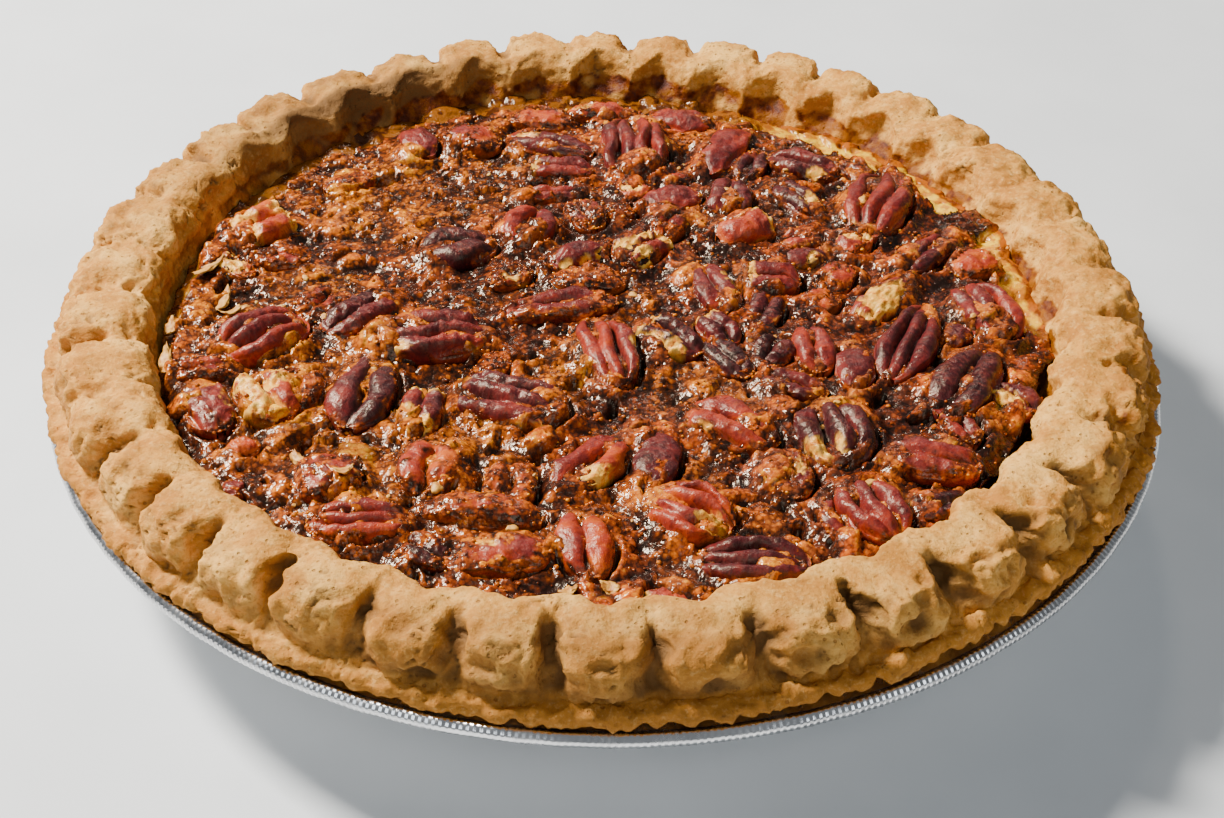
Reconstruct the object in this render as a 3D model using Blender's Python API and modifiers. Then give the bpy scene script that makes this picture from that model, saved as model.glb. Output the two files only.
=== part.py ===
"""Pecan pie, whole and uncut, in the foil pan it was baked in.

The pan, the fluted crust, the set filling and the larger pecans are separate closed solids that rest
on one another. Sizes below are in millimetres and MM turns them into Blender's metres. +Z is up and
the origin is the centre of the pan's underside.
"""

import math
import random

import bmesh
import bpy
from mathutils import Vector
from mathutils.bvhtree import BVHTree

MM = 0.001
GAP = 0.4  # air between two pieces that touch
MERGE = 0.01 * MM  # merge distance of the turned shapes

# Foil pan, turned from thin sheet with a rolled bead
FOIL = 0.6
PAN_RADIUS = 122.0
PAN_BASE_RADIUS = 87.0
PAN_THROAT_RADIUS = 111.2
FLANGE_UNDERSIDE = 26.8
BEAD_RADIUS = 1.5
BEAD_ARC = math.radians(168)  # the bead's arc each side of its outermost point
BEAD_POINTS = 7
PAN_STEPS = 56

# Crust: floor, sloping wall, pinched rim and the flat flange that lies over the pan's edge
CRUST_WALL = 3.8
CRUST_FLOOR_RADIUS = 82.5
RIM_FOOT = (97.8, 32.4)  # radius and height where the wall turns into the pinched rim
CREST_CENTRE = (107.6, 37.2)
CREST_HALF_WIDTH = 7.4
CREST_HEIGHT = 5.6
CREST_POINTS = 5
RIM_HEEL = (115.6, 32.8)  # where the rim's outer face meets the flange
FLANGE_TOP = (120.9, 31.9)
FLANGE_EDGE = (121.3, 29.5)
FLANGE_THROAT = (110.3, 28.6)
FLANGE_WAVES = ((0.25, 9, 0.0), (0.15, 23, 1.0))  # depth, waves all round and lead of its ragged edge

# Flutes: pinched all round the rim, each with a dent inside and the next dent outside
FLUTES = 38
STEPS_PER_FLUTE = 4
FLUTE_START = math.radians(7.4)
FLUTE_DRIFTS = ((1, math.radians(1.9), math.radians(80)), (2, math.radians(2.0), math.radians(74)))
GRIP_HEIGHTS = (31.3, 36.8)  # the pinching starts at the first height and is at its full depth above
OUTER_FACE = (105.6, 113.6)  # radii between which the outer dents come in
INNER_FACE = (109.6, 100.8)  # radii between which the inner dents come in
FLUTE_SWAY = 1.3  # how far the rim winds in and out
INNER_DENT = 2.6
OUTER_DENT = 4.0
DENT_AT_CREST = 0.4  # a dent's depth at the crest, as a share of its depth below
CREST_DIP = 1.3
DENT_SPREAD = (0.65, 1.25)  # shallowest and deepest dent, as shares of the usual one
FLUTE_SEED = 11

# The flange is drawn back and lifted off the pan on one side
BARE_SIDE = math.radians(-48)
BARE_HALF_ANGLE = math.radians(36)
FLANGE_DRAWN_BACK = 2.3
FLANGE_LIFT = 0.9

# Filling: set level with a slight dome, and shrunk from the crust at two sides
FILLING_FLOOR_RADIUS = 81.9
FILLING_LEVEL = 34.3
FILLING_DOME = 1.0
FILLING_TOP_RADIUS = 96.6
FILLING_RINGS = (24.0, 48.0, 72.0, 89.0)
FILLING_STEPS = 48
FILLING_WAVES = ((0.45, 17.0, 29.0, 0.6), (0.35, -41.0, 13.0, 0.0))  # height, x and y stretch, lead
SHRINKS = ((math.radians(-27), math.radians(22), 4.0), (math.radians(176), math.radians(24), 2.4))

# Pecans: each kind's height as a share of its width, its groove, where it is broken off and its bend
PECAN_KINDS = {
    "half": {"height": 0.42, "groove": 0.30, "break_at": 1.0, "bend": 0.0},
    "bit": {"height": 0.46, "groove": 0.12, "break_at": 0.5, "bend": 0.0},
    "strip": {"height": 0.62, "groove": 0.10, "break_at": 1.0, "bend": 0.22},
}
PECAN_SIDES = 8
PECAN_RINGS = 6
END_FULLNESS = 0.15  # above 0, a nut's ends are blunter than an ellipse
EDGE_SHARE = 0.3  # height of a nut's widest line, as a share of its own height
LOBE_POWER = 0.6  # below 1, the lobes are fuller than an ellipse
STUB = 0.12  # what is left of the length past a break, which leaves a steep rough end
BEND_LEVEL = 0.3  # keeps a bent nut centred on its middle line

# Where the pecans lie: centre x and y, heading in degrees from +X, length, width, kind, tilt in degrees
PECANS = (
    (-47, 67, 110, 14, 9, "half", 0),
    (-34, 68, 172, 15, 11, "half", 0),
    (-17, 79, 177, 17, 8, "half", 0),
    (-14.5, 66.5, 160, 23, 9, "half", 0),
    (-2, 83, 2, 19, 7, "strip", 0),
    (6.5, 65, 92, 28, 17, "half", 0),
    (18, 81, 172, 16, 9, "half", 0),
    (28.5, 67, 65, 25, 10, "half", 0),
    (-13, 55, 176, 19, 9, "bit", 0),
    (29, 44, 86, 16, 11, "half", 0),
    (15, 42, 14, 15, 9, "half", 0),
    (33, 30, 26, 17, 9, "bit", 16),
    (48, 60, 154, 19, 10, "half", 0),
    (45, 45, 130, 17, 9, "half", 0),
    (64, 42, 72, 29, 15, "half", 0),
    (74, 23, 50, 20, 8, "half", 0),
    (85, 19, 28, 15, 9, "bit", 0),
    (84, 0, 108, 22, 14, "half", 0),
    (61, 3, 52, 23, 8, "strip", 0),
    (65.5, -13, 67, 29, 12, "half", 0),
    (76, -27, 62, 26, 13, "half", 0),
    (53, -22.5, 88, 16, 8, "half", 0),
    (44.5, -16, 98, 17, 9, "half", 0),
    (36, 9, 174, 15, 11, "bit", 0),
    (52, 12, 62, 13, 8, "bit", 0),
    (24, 5, 112, 19, 10, "half", 0),
    (24, -9, 122, 14, 8, "bit", 0),
    (13, -13, 140, 19, 10, "bit", 0),
    (1, -19, 104, 25, 12, "half", 0),
    (-10, -3, 10, 26, 10, "half", 0),
    (-6, 17, 26, 15, 7, "strip", 0),
    (9, 20, 36, 17, 10, "bit", 0),
    (-18, 28, 75, 17, 12, "half", 0),
    (-34, 19, 18, 18, 13, "half", 0),
    (-37.5, -15, 10, 26, 15, "half", 0),
    (-53, -7, 42, 20, 11, "half", 0),
    (-49.5, -34.5, 80, 24, 13, "half", 0),
    (-73, -16, 40, 20, 15, "half", 0),
    (-79, 28, 35, 20, 13, "bit", 0),
    (-69.5, -36, 120, 18, 13, "bit", 0),
    (-81, -39.5, 118, 18, 10, "half", 0),
    (-19, -37, 160, 26, 15, "half", 0),
    (-37, -39, 80, 19, 9, "bit", 0),
    (-34, -59, 86, 17, 13, "half", 0),
    (-52, -62, 14, 17, 12, "bit", 0),
    (-46, -75, 4, 20, 11, "half", 0),
    (-23, -72, 174, 24, 8, "strip", 0),
    (-19, -83, 8, 21, 10, "half", 0),
    (-3, -79, 100, 19, 11, "half", 0),
    (-2, -56, 50, 21, 11, "half", 0),
    (11, -54, 80, 20, 9, "half", 0),
    (17, -70.5, 156, 18, 15, "half", 0),
    (26, -44, 146, 22, 12, "half", 0),
    (29, -83, 176, 21, 12, "half", 0),
    (47, -46, 100, 20, 16, "half", 0),
    (65.5, -53, 168, 20, 11, "half", 0),
    (52.5, -68.5, 118, 18, 13, "half", 0),
)
DROP_FROM = 100.0  # height above the table that a nut is lowered from


def clear_scene():
    for item in list(bpy.data.objects):
        bpy.data.objects.remove(item)


def make_material(name, colour, roughness, metallic=0.0):
    material = bpy.data.materials.new(name)
    material.use_nodes = True
    shader = material.node_tree.nodes["Principled BSDF"]
    shader.inputs["Base Color"].default_value = (*colour, 1.0)
    shader.inputs["Roughness"].default_value = roughness
    shader.inputs["Metallic"].default_value = metallic
    return material


def smooth(low, high, value):
    """0 below low, 1 above high and an even S between them."""
    share = min(1.0, max(0.0, (value - low) / (high - low)))
    return share * share * (3 - 2 * share)


def around(angle, centre, half_angle):
    """1 at the centre of a stretch of the rim, fading to 0 at half_angle either side."""
    apart = math.remainder(angle - centre, 2 * math.pi)
    return 0.5 + 0.5 * math.cos(math.pi * min(1.0, abs(apart) / half_angle))


def arc(centre, half_width, height, start, end, points):
    """Points on an ellipse about a centre (radius, height), from one angle to another."""
    angles = [start + (end - start) * i / (points - 1) for i in range(points)]
    return [(centre[0] + half_width * math.cos(a), centre[1] + height * math.sin(a)) for a in angles]


def turned(name, section, steps, material, collection):
    """A profile of (radius, height) points from the axis back to the axis, turned about Z."""
    mesh = bpy.data.meshes.new(name)
    edges = [(i, i + 1) for i in range(len(section) - 1)]
    mesh.from_pydata([(r * MM, 0.0, h * MM) for r, h in section], edges, [])
    piece = bpy.data.objects.new(name, mesh)
    piece.data.materials.append(material)
    collection.objects.link(piece)
    screw = piece.modifiers.new("Turn", "SCREW")
    screw.axis = "Z"
    screw.steps = steps
    screw.render_steps = steps
    screw.use_merge_vertices = True
    screw.merge_threshold = MERGE
    screw.use_smooth_shade = True
    return piece


def set_turned_mesh(piece):
    """Swaps a turned piece's profile for its finished mesh, whose points can then be moved one by one."""
    bpy.context.view_layer.update()
    finished = piece.evaluated_get(bpy.context.evaluated_depsgraph_get())
    profile = piece.data
    piece.data = bpy.data.meshes.new_from_object(finished)
    piece.modifiers.clear()
    bpy.data.meshes.remove(profile)
    piece.data.name = piece.name


def make_pan(collection):
    """Thin pan: flat base, sloping wall, narrow flange and a rolled bead."""
    bead_centre = (PAN_RADIUS - BEAD_RADIUS, FLANGE_UNDERSIDE + FOIL / 2)
    bead = arc(bead_centre, BEAD_RADIUS, BEAD_RADIUS, BEAD_ARC, -BEAD_ARC, BEAD_POINTS)
    section = [(0.0, FOIL), (PAN_BASE_RADIUS - FOIL, FOIL)]
    section += [(PAN_THROAT_RADIUS - FOIL, FLANGE_UNDERSIDE + FOIL)]
    section += bead
    section += [(PAN_THROAT_RADIUS, FLANGE_UNDERSIDE), (PAN_BASE_RADIUS, 0.0), (0.0, 0.0)]
    foil = make_material("foil", (0.62, 0.64, 0.66), 0.28, metallic=1.0)
    pan = turned("pan", section, PAN_STEPS, foil, collection)
    set_turned_mesh(pan)
    pan.data.set_sharp_from_angle(angle=math.radians(35))
    return pan


def crust_section():
    """The crust's outline: up the inside from the floor, over the crest, down to the flange and under."""
    underside = FOIL + GAP
    base_radius = PAN_BASE_RADIUS - FOIL - 2 * GAP
    inside = [(0.0, underside + CRUST_WALL), (CRUST_FLOOR_RADIUS, underside + CRUST_WALL), RIM_FOOT]
    crest = arc(CREST_CENTRE, CREST_HALF_WIDTH, CREST_HEIGHT, math.pi, 0.0, CREST_POINTS)
    outside = [RIM_HEEL, FLANGE_TOP, FLANGE_EDGE, FLANGE_THROAT]
    return inside + crest + outside + [(base_radius, underside), (0.0, underside)]


def dent_depths():
    """A depth for each flute's inner dent and outer dent, as shares of the usual depth."""
    draw = random.Random(FLUTE_SEED)
    inner = [draw.uniform(*DENT_SPREAD) for _ in range(FLUTES)]
    outer = [draw.uniform(*DENT_SPREAD) for _ in range(FLUTES)]
    return inner, outer


def flute_azimuth(even_angle):
    """Turns an even spacing of flutes into the hand-made one, wider in places and tighter in others."""
    drift = sum(size * math.sin(times * even_angle + lead) for times, size, lead in FLUTE_DRIFTS)
    return even_angle + FLUTE_START + drift


def pinch(radius, height, even_angle, depths):
    """Presses the flutes into one point of the turned rim and returns its new radius and height."""
    flute = (even_angle / (2 * math.pi) * FLUTES) % FLUTES
    wave = math.cos(2 * math.pi * flute)
    inner_depth = depths[0][round(flute) % FLUTES] * max(0.0, wave) ** 2
    outer_depth = depths[1][math.floor(flute)] * max(0.0, -wave) ** 2
    grip = smooth(*GRIP_HEIGHTS, height)
    outside = smooth(*OUTER_FACE, radius)
    inside = smooth(*INNER_FACE, radius)
    crest = smooth(CREST_CENTRE[1], CREST_CENTRE[1] + CREST_HEIGHT, height)
    dent = inside * INNER_DENT * inner_depth - outside * OUTER_DENT * outer_depth
    push = FLUTE_SWAY * wave + dent * (1 - (1 - DENT_AT_CREST) * crest)
    return radius + grip * push, height - crest * CREST_DIP * outer_depth


def shape_flange(radius, height, azimuth):
    """Draws the flange back and lifts it off the pan at the bare side."""
    reach = smooth(RIM_HEEL[0] + 1.0, FLANGE_EDGE[0], radius)
    bare = around(azimuth, BARE_SIDE, BARE_HALF_ANGLE)
    ragged = abs(sum(depth * math.sin(times * azimuth + lead) for depth, times, lead in FLANGE_WAVES))
    return radius - reach * (FLANGE_DRAWN_BACK * bare + ragged), height + reach * FLANGE_LIFT * bare


def make_crust(collection):
    """Pastry case turned from its section, then fluted by pinching the rim."""
    pastry = make_material("pastry", (0.60, 0.38, 0.17), 0.75)
    crust = turned("crust", crust_section(), FLUTES * STEPS_PER_FLUTE, pastry, collection)
    set_turned_mesh(crust)
    depths = dent_depths()
    for vertex in crust.data.vertices:
        radius = math.hypot(vertex.co.x, vertex.co.y) / MM
        even_angle = math.atan2(vertex.co.y, vertex.co.x)
        azimuth = flute_azimuth(even_angle)
        radius, height = pinch(radius, vertex.co.z / MM, even_angle, depths)
        radius, height = shape_flange(radius, height, azimuth)
        vertex.co = Vector((radius * math.cos(azimuth), radius * math.sin(azimuth), height)) * MM
    crust.data.set_sharp_from_angle(angle=math.radians(60))
    return crust


def filling_height(x, y):
    """Height of the filling's top above the table at a point, in millimetres."""
    dome = FILLING_DOME * (1 - (x * x + y * y) / FILLING_TOP_RADIUS**2)
    waves = sum(rise * math.sin(x / along + y / across + lead) for rise, along, across, lead in FILLING_WAVES)
    return FILLING_LEVEL + dome + waves


def make_filling(collection):
    """Solid plug of set filling with an uneven top, filling the crust to just below its rim."""
    underside = FOIL + GAP + CRUST_WALL + GAP
    side_radius = RIM_FOOT[0] - 2 * GAP
    section = [(0.0, FILLING_LEVEL)] + [(ring, FILLING_LEVEL) for ring in FILLING_RINGS]
    section += [(FILLING_TOP_RADIUS, FILLING_LEVEL), (side_radius, RIM_FOOT[1] - 1.0)]
    section += [(FILLING_FLOOR_RADIUS, underside), (0.0, underside)]
    custard = make_material("filling", (0.26, 0.09, 0.02), 0.3)
    filling = turned("filling", section, FILLING_STEPS, custard, collection)
    set_turned_mesh(filling)
    for vertex in filling.data.vertices:
        x, y, height = vertex.co / MM
        if height < FILLING_LEVEL - GAP:
            continue
        azimuth = math.atan2(y, x)
        shrink = sum(depth * around(azimuth, centre, half) for centre, half, depth in SHRINKS)
        reach = smooth(FILLING_RINGS[-2], FILLING_TOP_RADIUS, math.hypot(x, y))
        inward = 1 - reach * shrink / FILLING_TOP_RADIUS
        vertex.co = Vector((x * inward, y * inward, filling_height(x, y))) * MM
    filling.data.set_sharp_from_angle(angle=math.radians(50))
    return filling


def shape_pecan_point(point, length, width, kind):
    """Moves one point of a unit ball, whose poles lie along Z, to its place on a nut that lies along X."""
    side, up, along = point
    fullness = max(1 - along * along, 0.01) ** -END_FULLNESS
    side, up = side * fullness, up * fullness
    height = kind["height"] * width
    if up > 0:
        rise = EDGE_SHARE + (1 - EDGE_SHARE) * up**LOBE_POWER
        if abs(side) < up / 2:
            rise *= 1 - kind["groove"]
    else:
        rise = max(0.0, EDGE_SHARE + up)
    if along > kind["break_at"]:
        along = kind["break_at"] + STUB * (along - kind["break_at"])
    bend = kind["bend"] * width * (along * along - BEND_LEVEL)
    return Vector((along * length / 2, side * width / 2 + bend, rise * height)) * MM


def make_pecan_mesh(name, length, width, kind):
    """Half nut: flat below, domed above into two lobes with a groove between them."""
    cage = bmesh.new()
    bmesh.ops.create_uvsphere(cage, u_segments=PECAN_SIDES, v_segments=PECAN_RINGS, radius=1.0)
    for vertex in cage.verts:
        vertex.co = shape_pecan_point(vertex.co, length, width, kind)
    mesh = bpy.data.meshes.new(name)
    cage.to_mesh(mesh)
    cage.free()
    mesh.shade_smooth()
    mesh.set_sharp_from_angle(angle=math.radians(55))
    return mesh


def lower_onto(piece, surface):
    """Lowers a piece straight down until its lowest point is one gap above the surface."""
    bpy.context.view_layer.update()
    clearances = []
    for vertex in piece.data.vertices:
        point = piece.matrix_world @ vertex.co
        hit = surface.ray_cast(point, Vector((0.0, 0.0, -1.0)))[0]
        clearances.append(point.z - hit.z)
    piece.location.z -= min(clearances) - GAP * MM


def make_pecans(filling, collection):
    """Lays each pecan on the filling."""
    skin = make_material("pecan", (0.22, 0.055, 0.025), 0.35)
    surface = BVHTree.FromObject(filling, bpy.context.evaluated_depsgraph_get())
    for number, (x, y, heading, length, width, kind, tilt) in enumerate(PECANS, start=1):
        name = f"pecan_{number:02d}"
        mesh = make_pecan_mesh(name, length, width, PECAN_KINDS[kind])
        mesh.materials.append(skin)
        pecan = bpy.data.objects.new(name, mesh)
        pecan.location = Vector((x, y, DROP_FROM)) * MM
        pecan.rotation_euler = (math.radians(tilt), 0.0, math.radians(heading))
        collection.objects.link(pecan)
        lower_onto(pecan, surface)


def main():
    clear_scene()
    pie = bpy.data.collections.new("Pecan pie")
    bpy.context.scene.collection.children.link(pie)
    make_pan(pie)
    make_crust(pie)
    filling = make_filling(pie)
    bpy.context.view_layer.update()
    make_pecans(filling, pie)


main()
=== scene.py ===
"""Looks of the pecan pie: fluted pastry, frothy syrup filling, pecans and foil pan.

Shapes are worked out in millimetres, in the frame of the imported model, and turned into metres when a
mesh is made. Every point-by-point form comes from a few sizes and from seeded noise. Azimuths and
headings in tables are in degrees from +X, and the seed comes last in a call of scatter, noise or draws.
"""

import itertools
import math
from types import SimpleNamespace

import bmesh
import bpy
import numpy as np
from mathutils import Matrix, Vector


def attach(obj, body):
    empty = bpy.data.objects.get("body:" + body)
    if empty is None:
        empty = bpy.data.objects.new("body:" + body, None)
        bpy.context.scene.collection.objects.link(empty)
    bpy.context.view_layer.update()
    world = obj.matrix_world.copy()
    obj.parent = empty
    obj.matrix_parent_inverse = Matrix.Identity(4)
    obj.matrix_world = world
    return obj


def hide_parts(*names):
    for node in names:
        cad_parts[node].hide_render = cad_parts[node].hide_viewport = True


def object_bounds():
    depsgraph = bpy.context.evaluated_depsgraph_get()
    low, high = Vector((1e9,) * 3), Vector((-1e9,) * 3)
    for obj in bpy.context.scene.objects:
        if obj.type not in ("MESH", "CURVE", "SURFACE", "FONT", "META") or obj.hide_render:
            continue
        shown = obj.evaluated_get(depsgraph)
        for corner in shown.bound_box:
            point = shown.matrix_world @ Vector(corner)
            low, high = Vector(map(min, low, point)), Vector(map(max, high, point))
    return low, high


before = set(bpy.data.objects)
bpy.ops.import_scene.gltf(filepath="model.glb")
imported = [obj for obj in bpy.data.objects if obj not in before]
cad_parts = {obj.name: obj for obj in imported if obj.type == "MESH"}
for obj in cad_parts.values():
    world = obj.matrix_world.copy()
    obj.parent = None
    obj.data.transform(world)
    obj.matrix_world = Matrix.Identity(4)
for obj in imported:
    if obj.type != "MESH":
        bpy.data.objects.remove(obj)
CAD_BOX = [[float(value) for value in corner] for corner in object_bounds()]

MM = 0.001
TURN = 2 * math.pi
REACH, TOP = CAD_BOX[1][0] / MM, CAD_BOX[1][2] / MM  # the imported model's greatest radius and height
NUT_NODE = "pecan_{:02d}"

# -------- crust sizes, as in the solids
FLUTES = 38
FLUTE_START = math.radians(7.4)
FLUTE_DRIFTS = (  # waves per turn, size and lead of the drift away from an even spacing
    (1, math.radians(1.9), math.radians(80)), (2, math.radians(2.0), math.radians(74)),
)
COLUMNS_PER_FLUTE = 30  # points of the mesh from one flute to the next
SLOT_GATHER = 0.4  # how much closer the columns stand in the slots between lobes
CREST_RADIUS = 107.2
HEEL = (117.3, 32.8)  # radius and height where the rim meets the flange
SECTION = (  # radius, height and number of rows up to the next point
    (0.0, 4.8, 2), (78.0, 4.8, 2), (83.5, 6.0, 2), (96.2, 29.0, 2), (97.6, 32.6, 8), (98.8, 36.6, 8),
    (100.6, 40.4, 7), (103.8, 42.3, 5), (107.8, 42.6, 6), (112.0, 42.1, 8), (115.1, 40.0, 8), (116.6, 36.4, 7),
    (117.1, 33.2, 5), (118.0, 31.9, 4), (120.0, 31.2, 4), (120.6, 30.0, 3), (119.2, 28.9, 1), (110.3, 28.6, 1),
    (86.0, 1.2, 1), (0.0, 1.0, 0),
)
ZONES = {  # stretches of the rim that differ in the photo: azimuth and half angle
    "front": (-66, 46), "left": (184, 36), "rear": (97, 46), "back": (92, 58), "right": (-20, 17),
    "calm": (22, 30), "torn": (-42, 26), "brown": (-92, 25), "bare": (-54, 24), "over": (22, 26),
}

# -------- filling sizes
FILLING_GRID = 296
FILLING_LEVEL = 34.3  # height at the edge
FILLING_DOME, DOME_RADIUS = 1.0, 96.6  # the middle stands this far above the height at this radius
FILLING_RADIUS, FILLING_WAVE = 97.9, 0.275  # where it meets the pastry, and how far this waves with the flutes
FILLING_FLOOR = (81.5, 5.4)  # radius and height of the bottom edge
WALL_SHARES = (0.05, 0.25, 0.6, 1.0)  # how far down the hidden side each of its rings lies
HIDDEN_MASKS = {"custard": 0.0, "raised": 0.3, "painted_shade": 0.6, "syrupy": 1.0, "amber": 0.0}


# ======== numbers: noise and falloffs
MIXERS = np.uint64(0x9E3779B185EBCA87), np.uint64(0xD6E8FEB86659FD93)  # odd numbers with well-mixed bits


def scatter(cells, seed):
    """An even pseudo-random number from 0 to 1 for each whole-number cell, by multiplying and mixing bits."""
    key = cells.astype(np.int64).astype(np.uint64)
    mixed = np.full(key.shape[:-1], (seed * 2654435761 + 97) % 2**63, dtype=np.uint64)
    for axis in range(key.shape[-1]):
        mixed = (mixed ^ key[..., axis]) * MIXERS[0]
        mixed ^= mixed >> np.uint64(31)
    mixed *= MIXERS[1]
    mixed ^= mixed >> np.uint64(32)
    return (mixed >> np.uint64(11)).astype(float) / 2**53


def draws(first, second, seed):
    """An even pseudo-random number from 0 to 1 for each pair of whole numbers."""
    return scatter(np.stack(np.broadcast_arrays(first, second), axis=-1), seed)


def noise(points, size, seed):
    """Smooth gradient noise from about -1 to 1, with features of the given size."""
    place = points / size
    cell = np.floor(place)
    offset = place - cell
    fade = offset**3 * (offset * (offset * 6 - 15) + 10)
    total = np.zeros(len(points))
    for corner in itertools.product((0, 1), repeat=3):
        turn = TURN * scatter(cell + corner, seed)
        rise = 2 * scatter(cell + corner, seed + 101) - 1
        flat = np.sqrt(1 - rise**2)
        away = offset - corner
        slope = away[:, 0] * flat * np.cos(turn) + away[:, 1] * flat * np.sin(turn) + away[:, 2] * rise
        total += slope * np.prod(np.where(corner, fade, 1 - fade), axis=1)
    return total * 1.7


def fractal(points, size, octaves, seed, gain=0.5):
    """Noise of several sizes, each half the last and weaker by gain."""
    return sum(noise(points, size / 2**i, seed + 7 * i) * gain**i for i in range(octaves))


def cobbles(points, size, seed, reach=3):
    """Distances to the nearest and second nearest of one point per cell, in cells, and its number."""
    place = points / size
    cell = np.floor(place)
    first, second = np.full((2, len(points)), 9.0)
    number = np.zeros(len(points))
    for step in itertools.product((-1, 0, 1), repeat=reach):
        home = cell + np.array(step + (0,) * (3 - reach))
        away = np.sqrt(sum((place[:, axis] - home[:, axis] - scatter(home, seed + 11 * axis)) ** 2
                           for axis in range(reach)))
        nearer = away < first
        second = np.where(nearer, first, np.minimum(second, away))
        number = np.where(nearer, scatter(home, seed + 77), number)
        first = np.where(nearer, away, first)
    return first, second, number


def unit(value):
    """Keeps a value from 0 to 1."""
    return np.clip(value, 0, 1)


def smooth(low, high, value):
    """0 below low, 1 above high and an even S between them."""
    share = unit((value - low) / (high - low))
    return share * share * (3 - 2 * share)


def bell(value, half_width, centre=0.0, power=2):
    """1 at the centre, falling to about 0 two half widths away."""
    return np.exp(-np.abs((value - centre) / half_width) ** power)


def rounded(value, power=2):
    """1 at 0, falling to 0 at -1 and 1 as a circle does, or more squarely."""
    return np.sqrt(unit(1 - np.abs(value) ** power))


def apart(angle, centre):
    """Signed angle from a centre, between minus and plus half a turn."""
    return (angle - centre + math.pi) % TURN - math.pi


def sector(azimuth, middle, half):
    """1 at a middle in degrees, falling to about 0 two half angles away."""
    return bell(apart(azimuth, math.radians(middle)), math.radians(half))


def wedge(azimuth, middle, half):
    """1 at a middle in degrees, falling evenly to 0 at the half angle."""
    return unit(1 - np.abs(apart(azimuth, math.radians(middle))) / math.radians(half))


def turned(x, y, heading):
    """x and y turned about the origin by a heading in radians."""
    return x * math.cos(heading) - y * math.sin(heading), x * math.sin(heading) + y * math.cos(heading)


def stack(x, y, z=0.0):
    return np.stack(np.broadcast_arrays(x, y, z), axis=-1)


def around(radius, azimuth, height=0.0):
    """Points about the pie's axis."""
    return stack(radius * np.cos(azimuth), radius * np.sin(azimuth), height)


def spline(section):
    """A smooth open line through a section's points, with as many steps after each as it says."""
    points = np.array([point[:2] for point in section])
    padded = np.vstack([2 * points[0] - points[1], points, 2 * points[-1] - points[-2]])
    line = []
    for i, (_, _, count) in enumerate(section[:-1]):
        a, b, c, d = padded[i : i + 4]
        for t in np.arange(count) / count:
            line.append(0.5 * (2 * b + (c - a) * t + (2 * a - 5 * b + 4 * c - d) * t**2
                               + (3 * b - a - 3 * c + d) * t**3))
    return np.array(line + [points[-1]])


# ======== meshes
def grid_faces(rows, columns, wrap=True):
    """Four-sided faces of a grid of points, whose last column meets the first when wrapped."""
    row = np.arange(rows - 1)[:, None] * columns
    column = np.arange(columns if wrap else columns - 1)[None, :]
    after = (column + 1) % columns
    return np.stack([row + column, row + after, row + columns + after, row + columns + column], axis=-1).reshape(-1, 4)


def close_ends(points, rows, columns, masks):
    """Faces, points and masks of a turned form whose first and last rings become single points."""
    kept = np.r_[0, columns : (rows - 1) * columns, rows * columns - 1]
    first = np.arange(columns) + 1
    last = first + (rows - 3) * columns
    fans = [stack(0, np.roll(first, -1), first), stack(last, np.roll(last, -1), len(kept) - 1)]
    masks = {mask: values[kept] for mask, values in masks.items()}
    return points[kept], [grid_faces(rows - 2, columns) + 1, *fans], masks


def signed_volume(points, faces):
    """Six times the volume inside the faces, above 0 if they turn outwards."""
    total = 0.0
    for face in faces:
        for i in range(1, face.shape[1] - 1):
            a, b, c = (points[face[:, corner]] for corner in (0, i, i + 1))
            total += np.einsum("ij,ij->", a, np.cross(b, c))
    return total


def make_piece(name, points, faces, material, nodes, masks):
    """A mesh from points in millimetres and arrays of faces, which rides on the pie and replaces its nodes."""
    if signed_volume(points, faces) < 0:
        faces = [face[:, ::-1] for face in faces]
    mesh = bpy.data.meshes.new(name)
    mesh.from_pydata((points * MM).tolist(), [], [corners for face in faces for corners in face.tolist()])
    for mask, values in masks.items():
        attribute = mesh.attributes.new(mask, "FLOAT", "POINT")
        attribute.data.foreach_set("value", np.asarray(values, np.float32))
    mesh.shade_smooth()
    mesh.materials.append(material)
    piece = bpy.data.objects.new(name, mesh)
    bpy.context.scene.collection.objects.link(piece)
    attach(piece, "root")
    if nodes:
        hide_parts(*nodes)


def join(parts):
    """One set of points, faces and masks out of several."""
    points, faces, masks, start = [], [], {}, 0
    for part_points, part_faces, part_masks in parts:
        points.append(part_points)
        faces += [face + start for face in part_faces]
        for mask, values in part_masks.items():
            masks.setdefault(mask, []).append(values)
        start += len(part_points)
    return np.concatenate(points), faces, {mask: np.concatenate(values) for mask, values in masks.items()}


def unit_ball(subdivisions):
    """Points and triangles of a ball of radius 1."""
    ball = bmesh.new()
    bmesh.ops.create_icosphere(ball, subdivisions=subdivisions, radius=1.0)
    ball.verts.index_update()
    points = np.array([tuple(vertex.co) for vertex in ball.verts])
    corners = np.array([[vertex.index for vertex in face.verts] for face in ball.faces])
    ball.free()
    return points, corners


def normals_of_grid(points, rows, columns):
    """Unit normals of a wrapped grid of points, out of its right-hand side."""
    grid = points.reshape(rows, columns, 3)
    along = np.roll(grid, -1, axis=1) - np.roll(grid, 1, axis=1)
    normal = np.cross(along, np.gradient(grid, axis=0))
    length = np.linalg.norm(normal, axis=2, keepdims=True)
    return (normal / np.maximum(length, 1e-9)).reshape(-1, 3)


# ======== materials
WARM = (1.0, 0.79, 0.57, 1.0)  # tint of the glints on syrup
MIX_SOCKETS = {"RGBA": (6, 7, 2), "VECTOR": (4, 5, 1)}  # a Mix node's two inputs and its output, by kind
SOCKETS = {"colour": "Base Color", "rough": "Roughness", "normal": "Normal", "metallic": "Metallic",
           "specular": "Specular IOR Level", "tint": "Specular Tint"}


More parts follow.
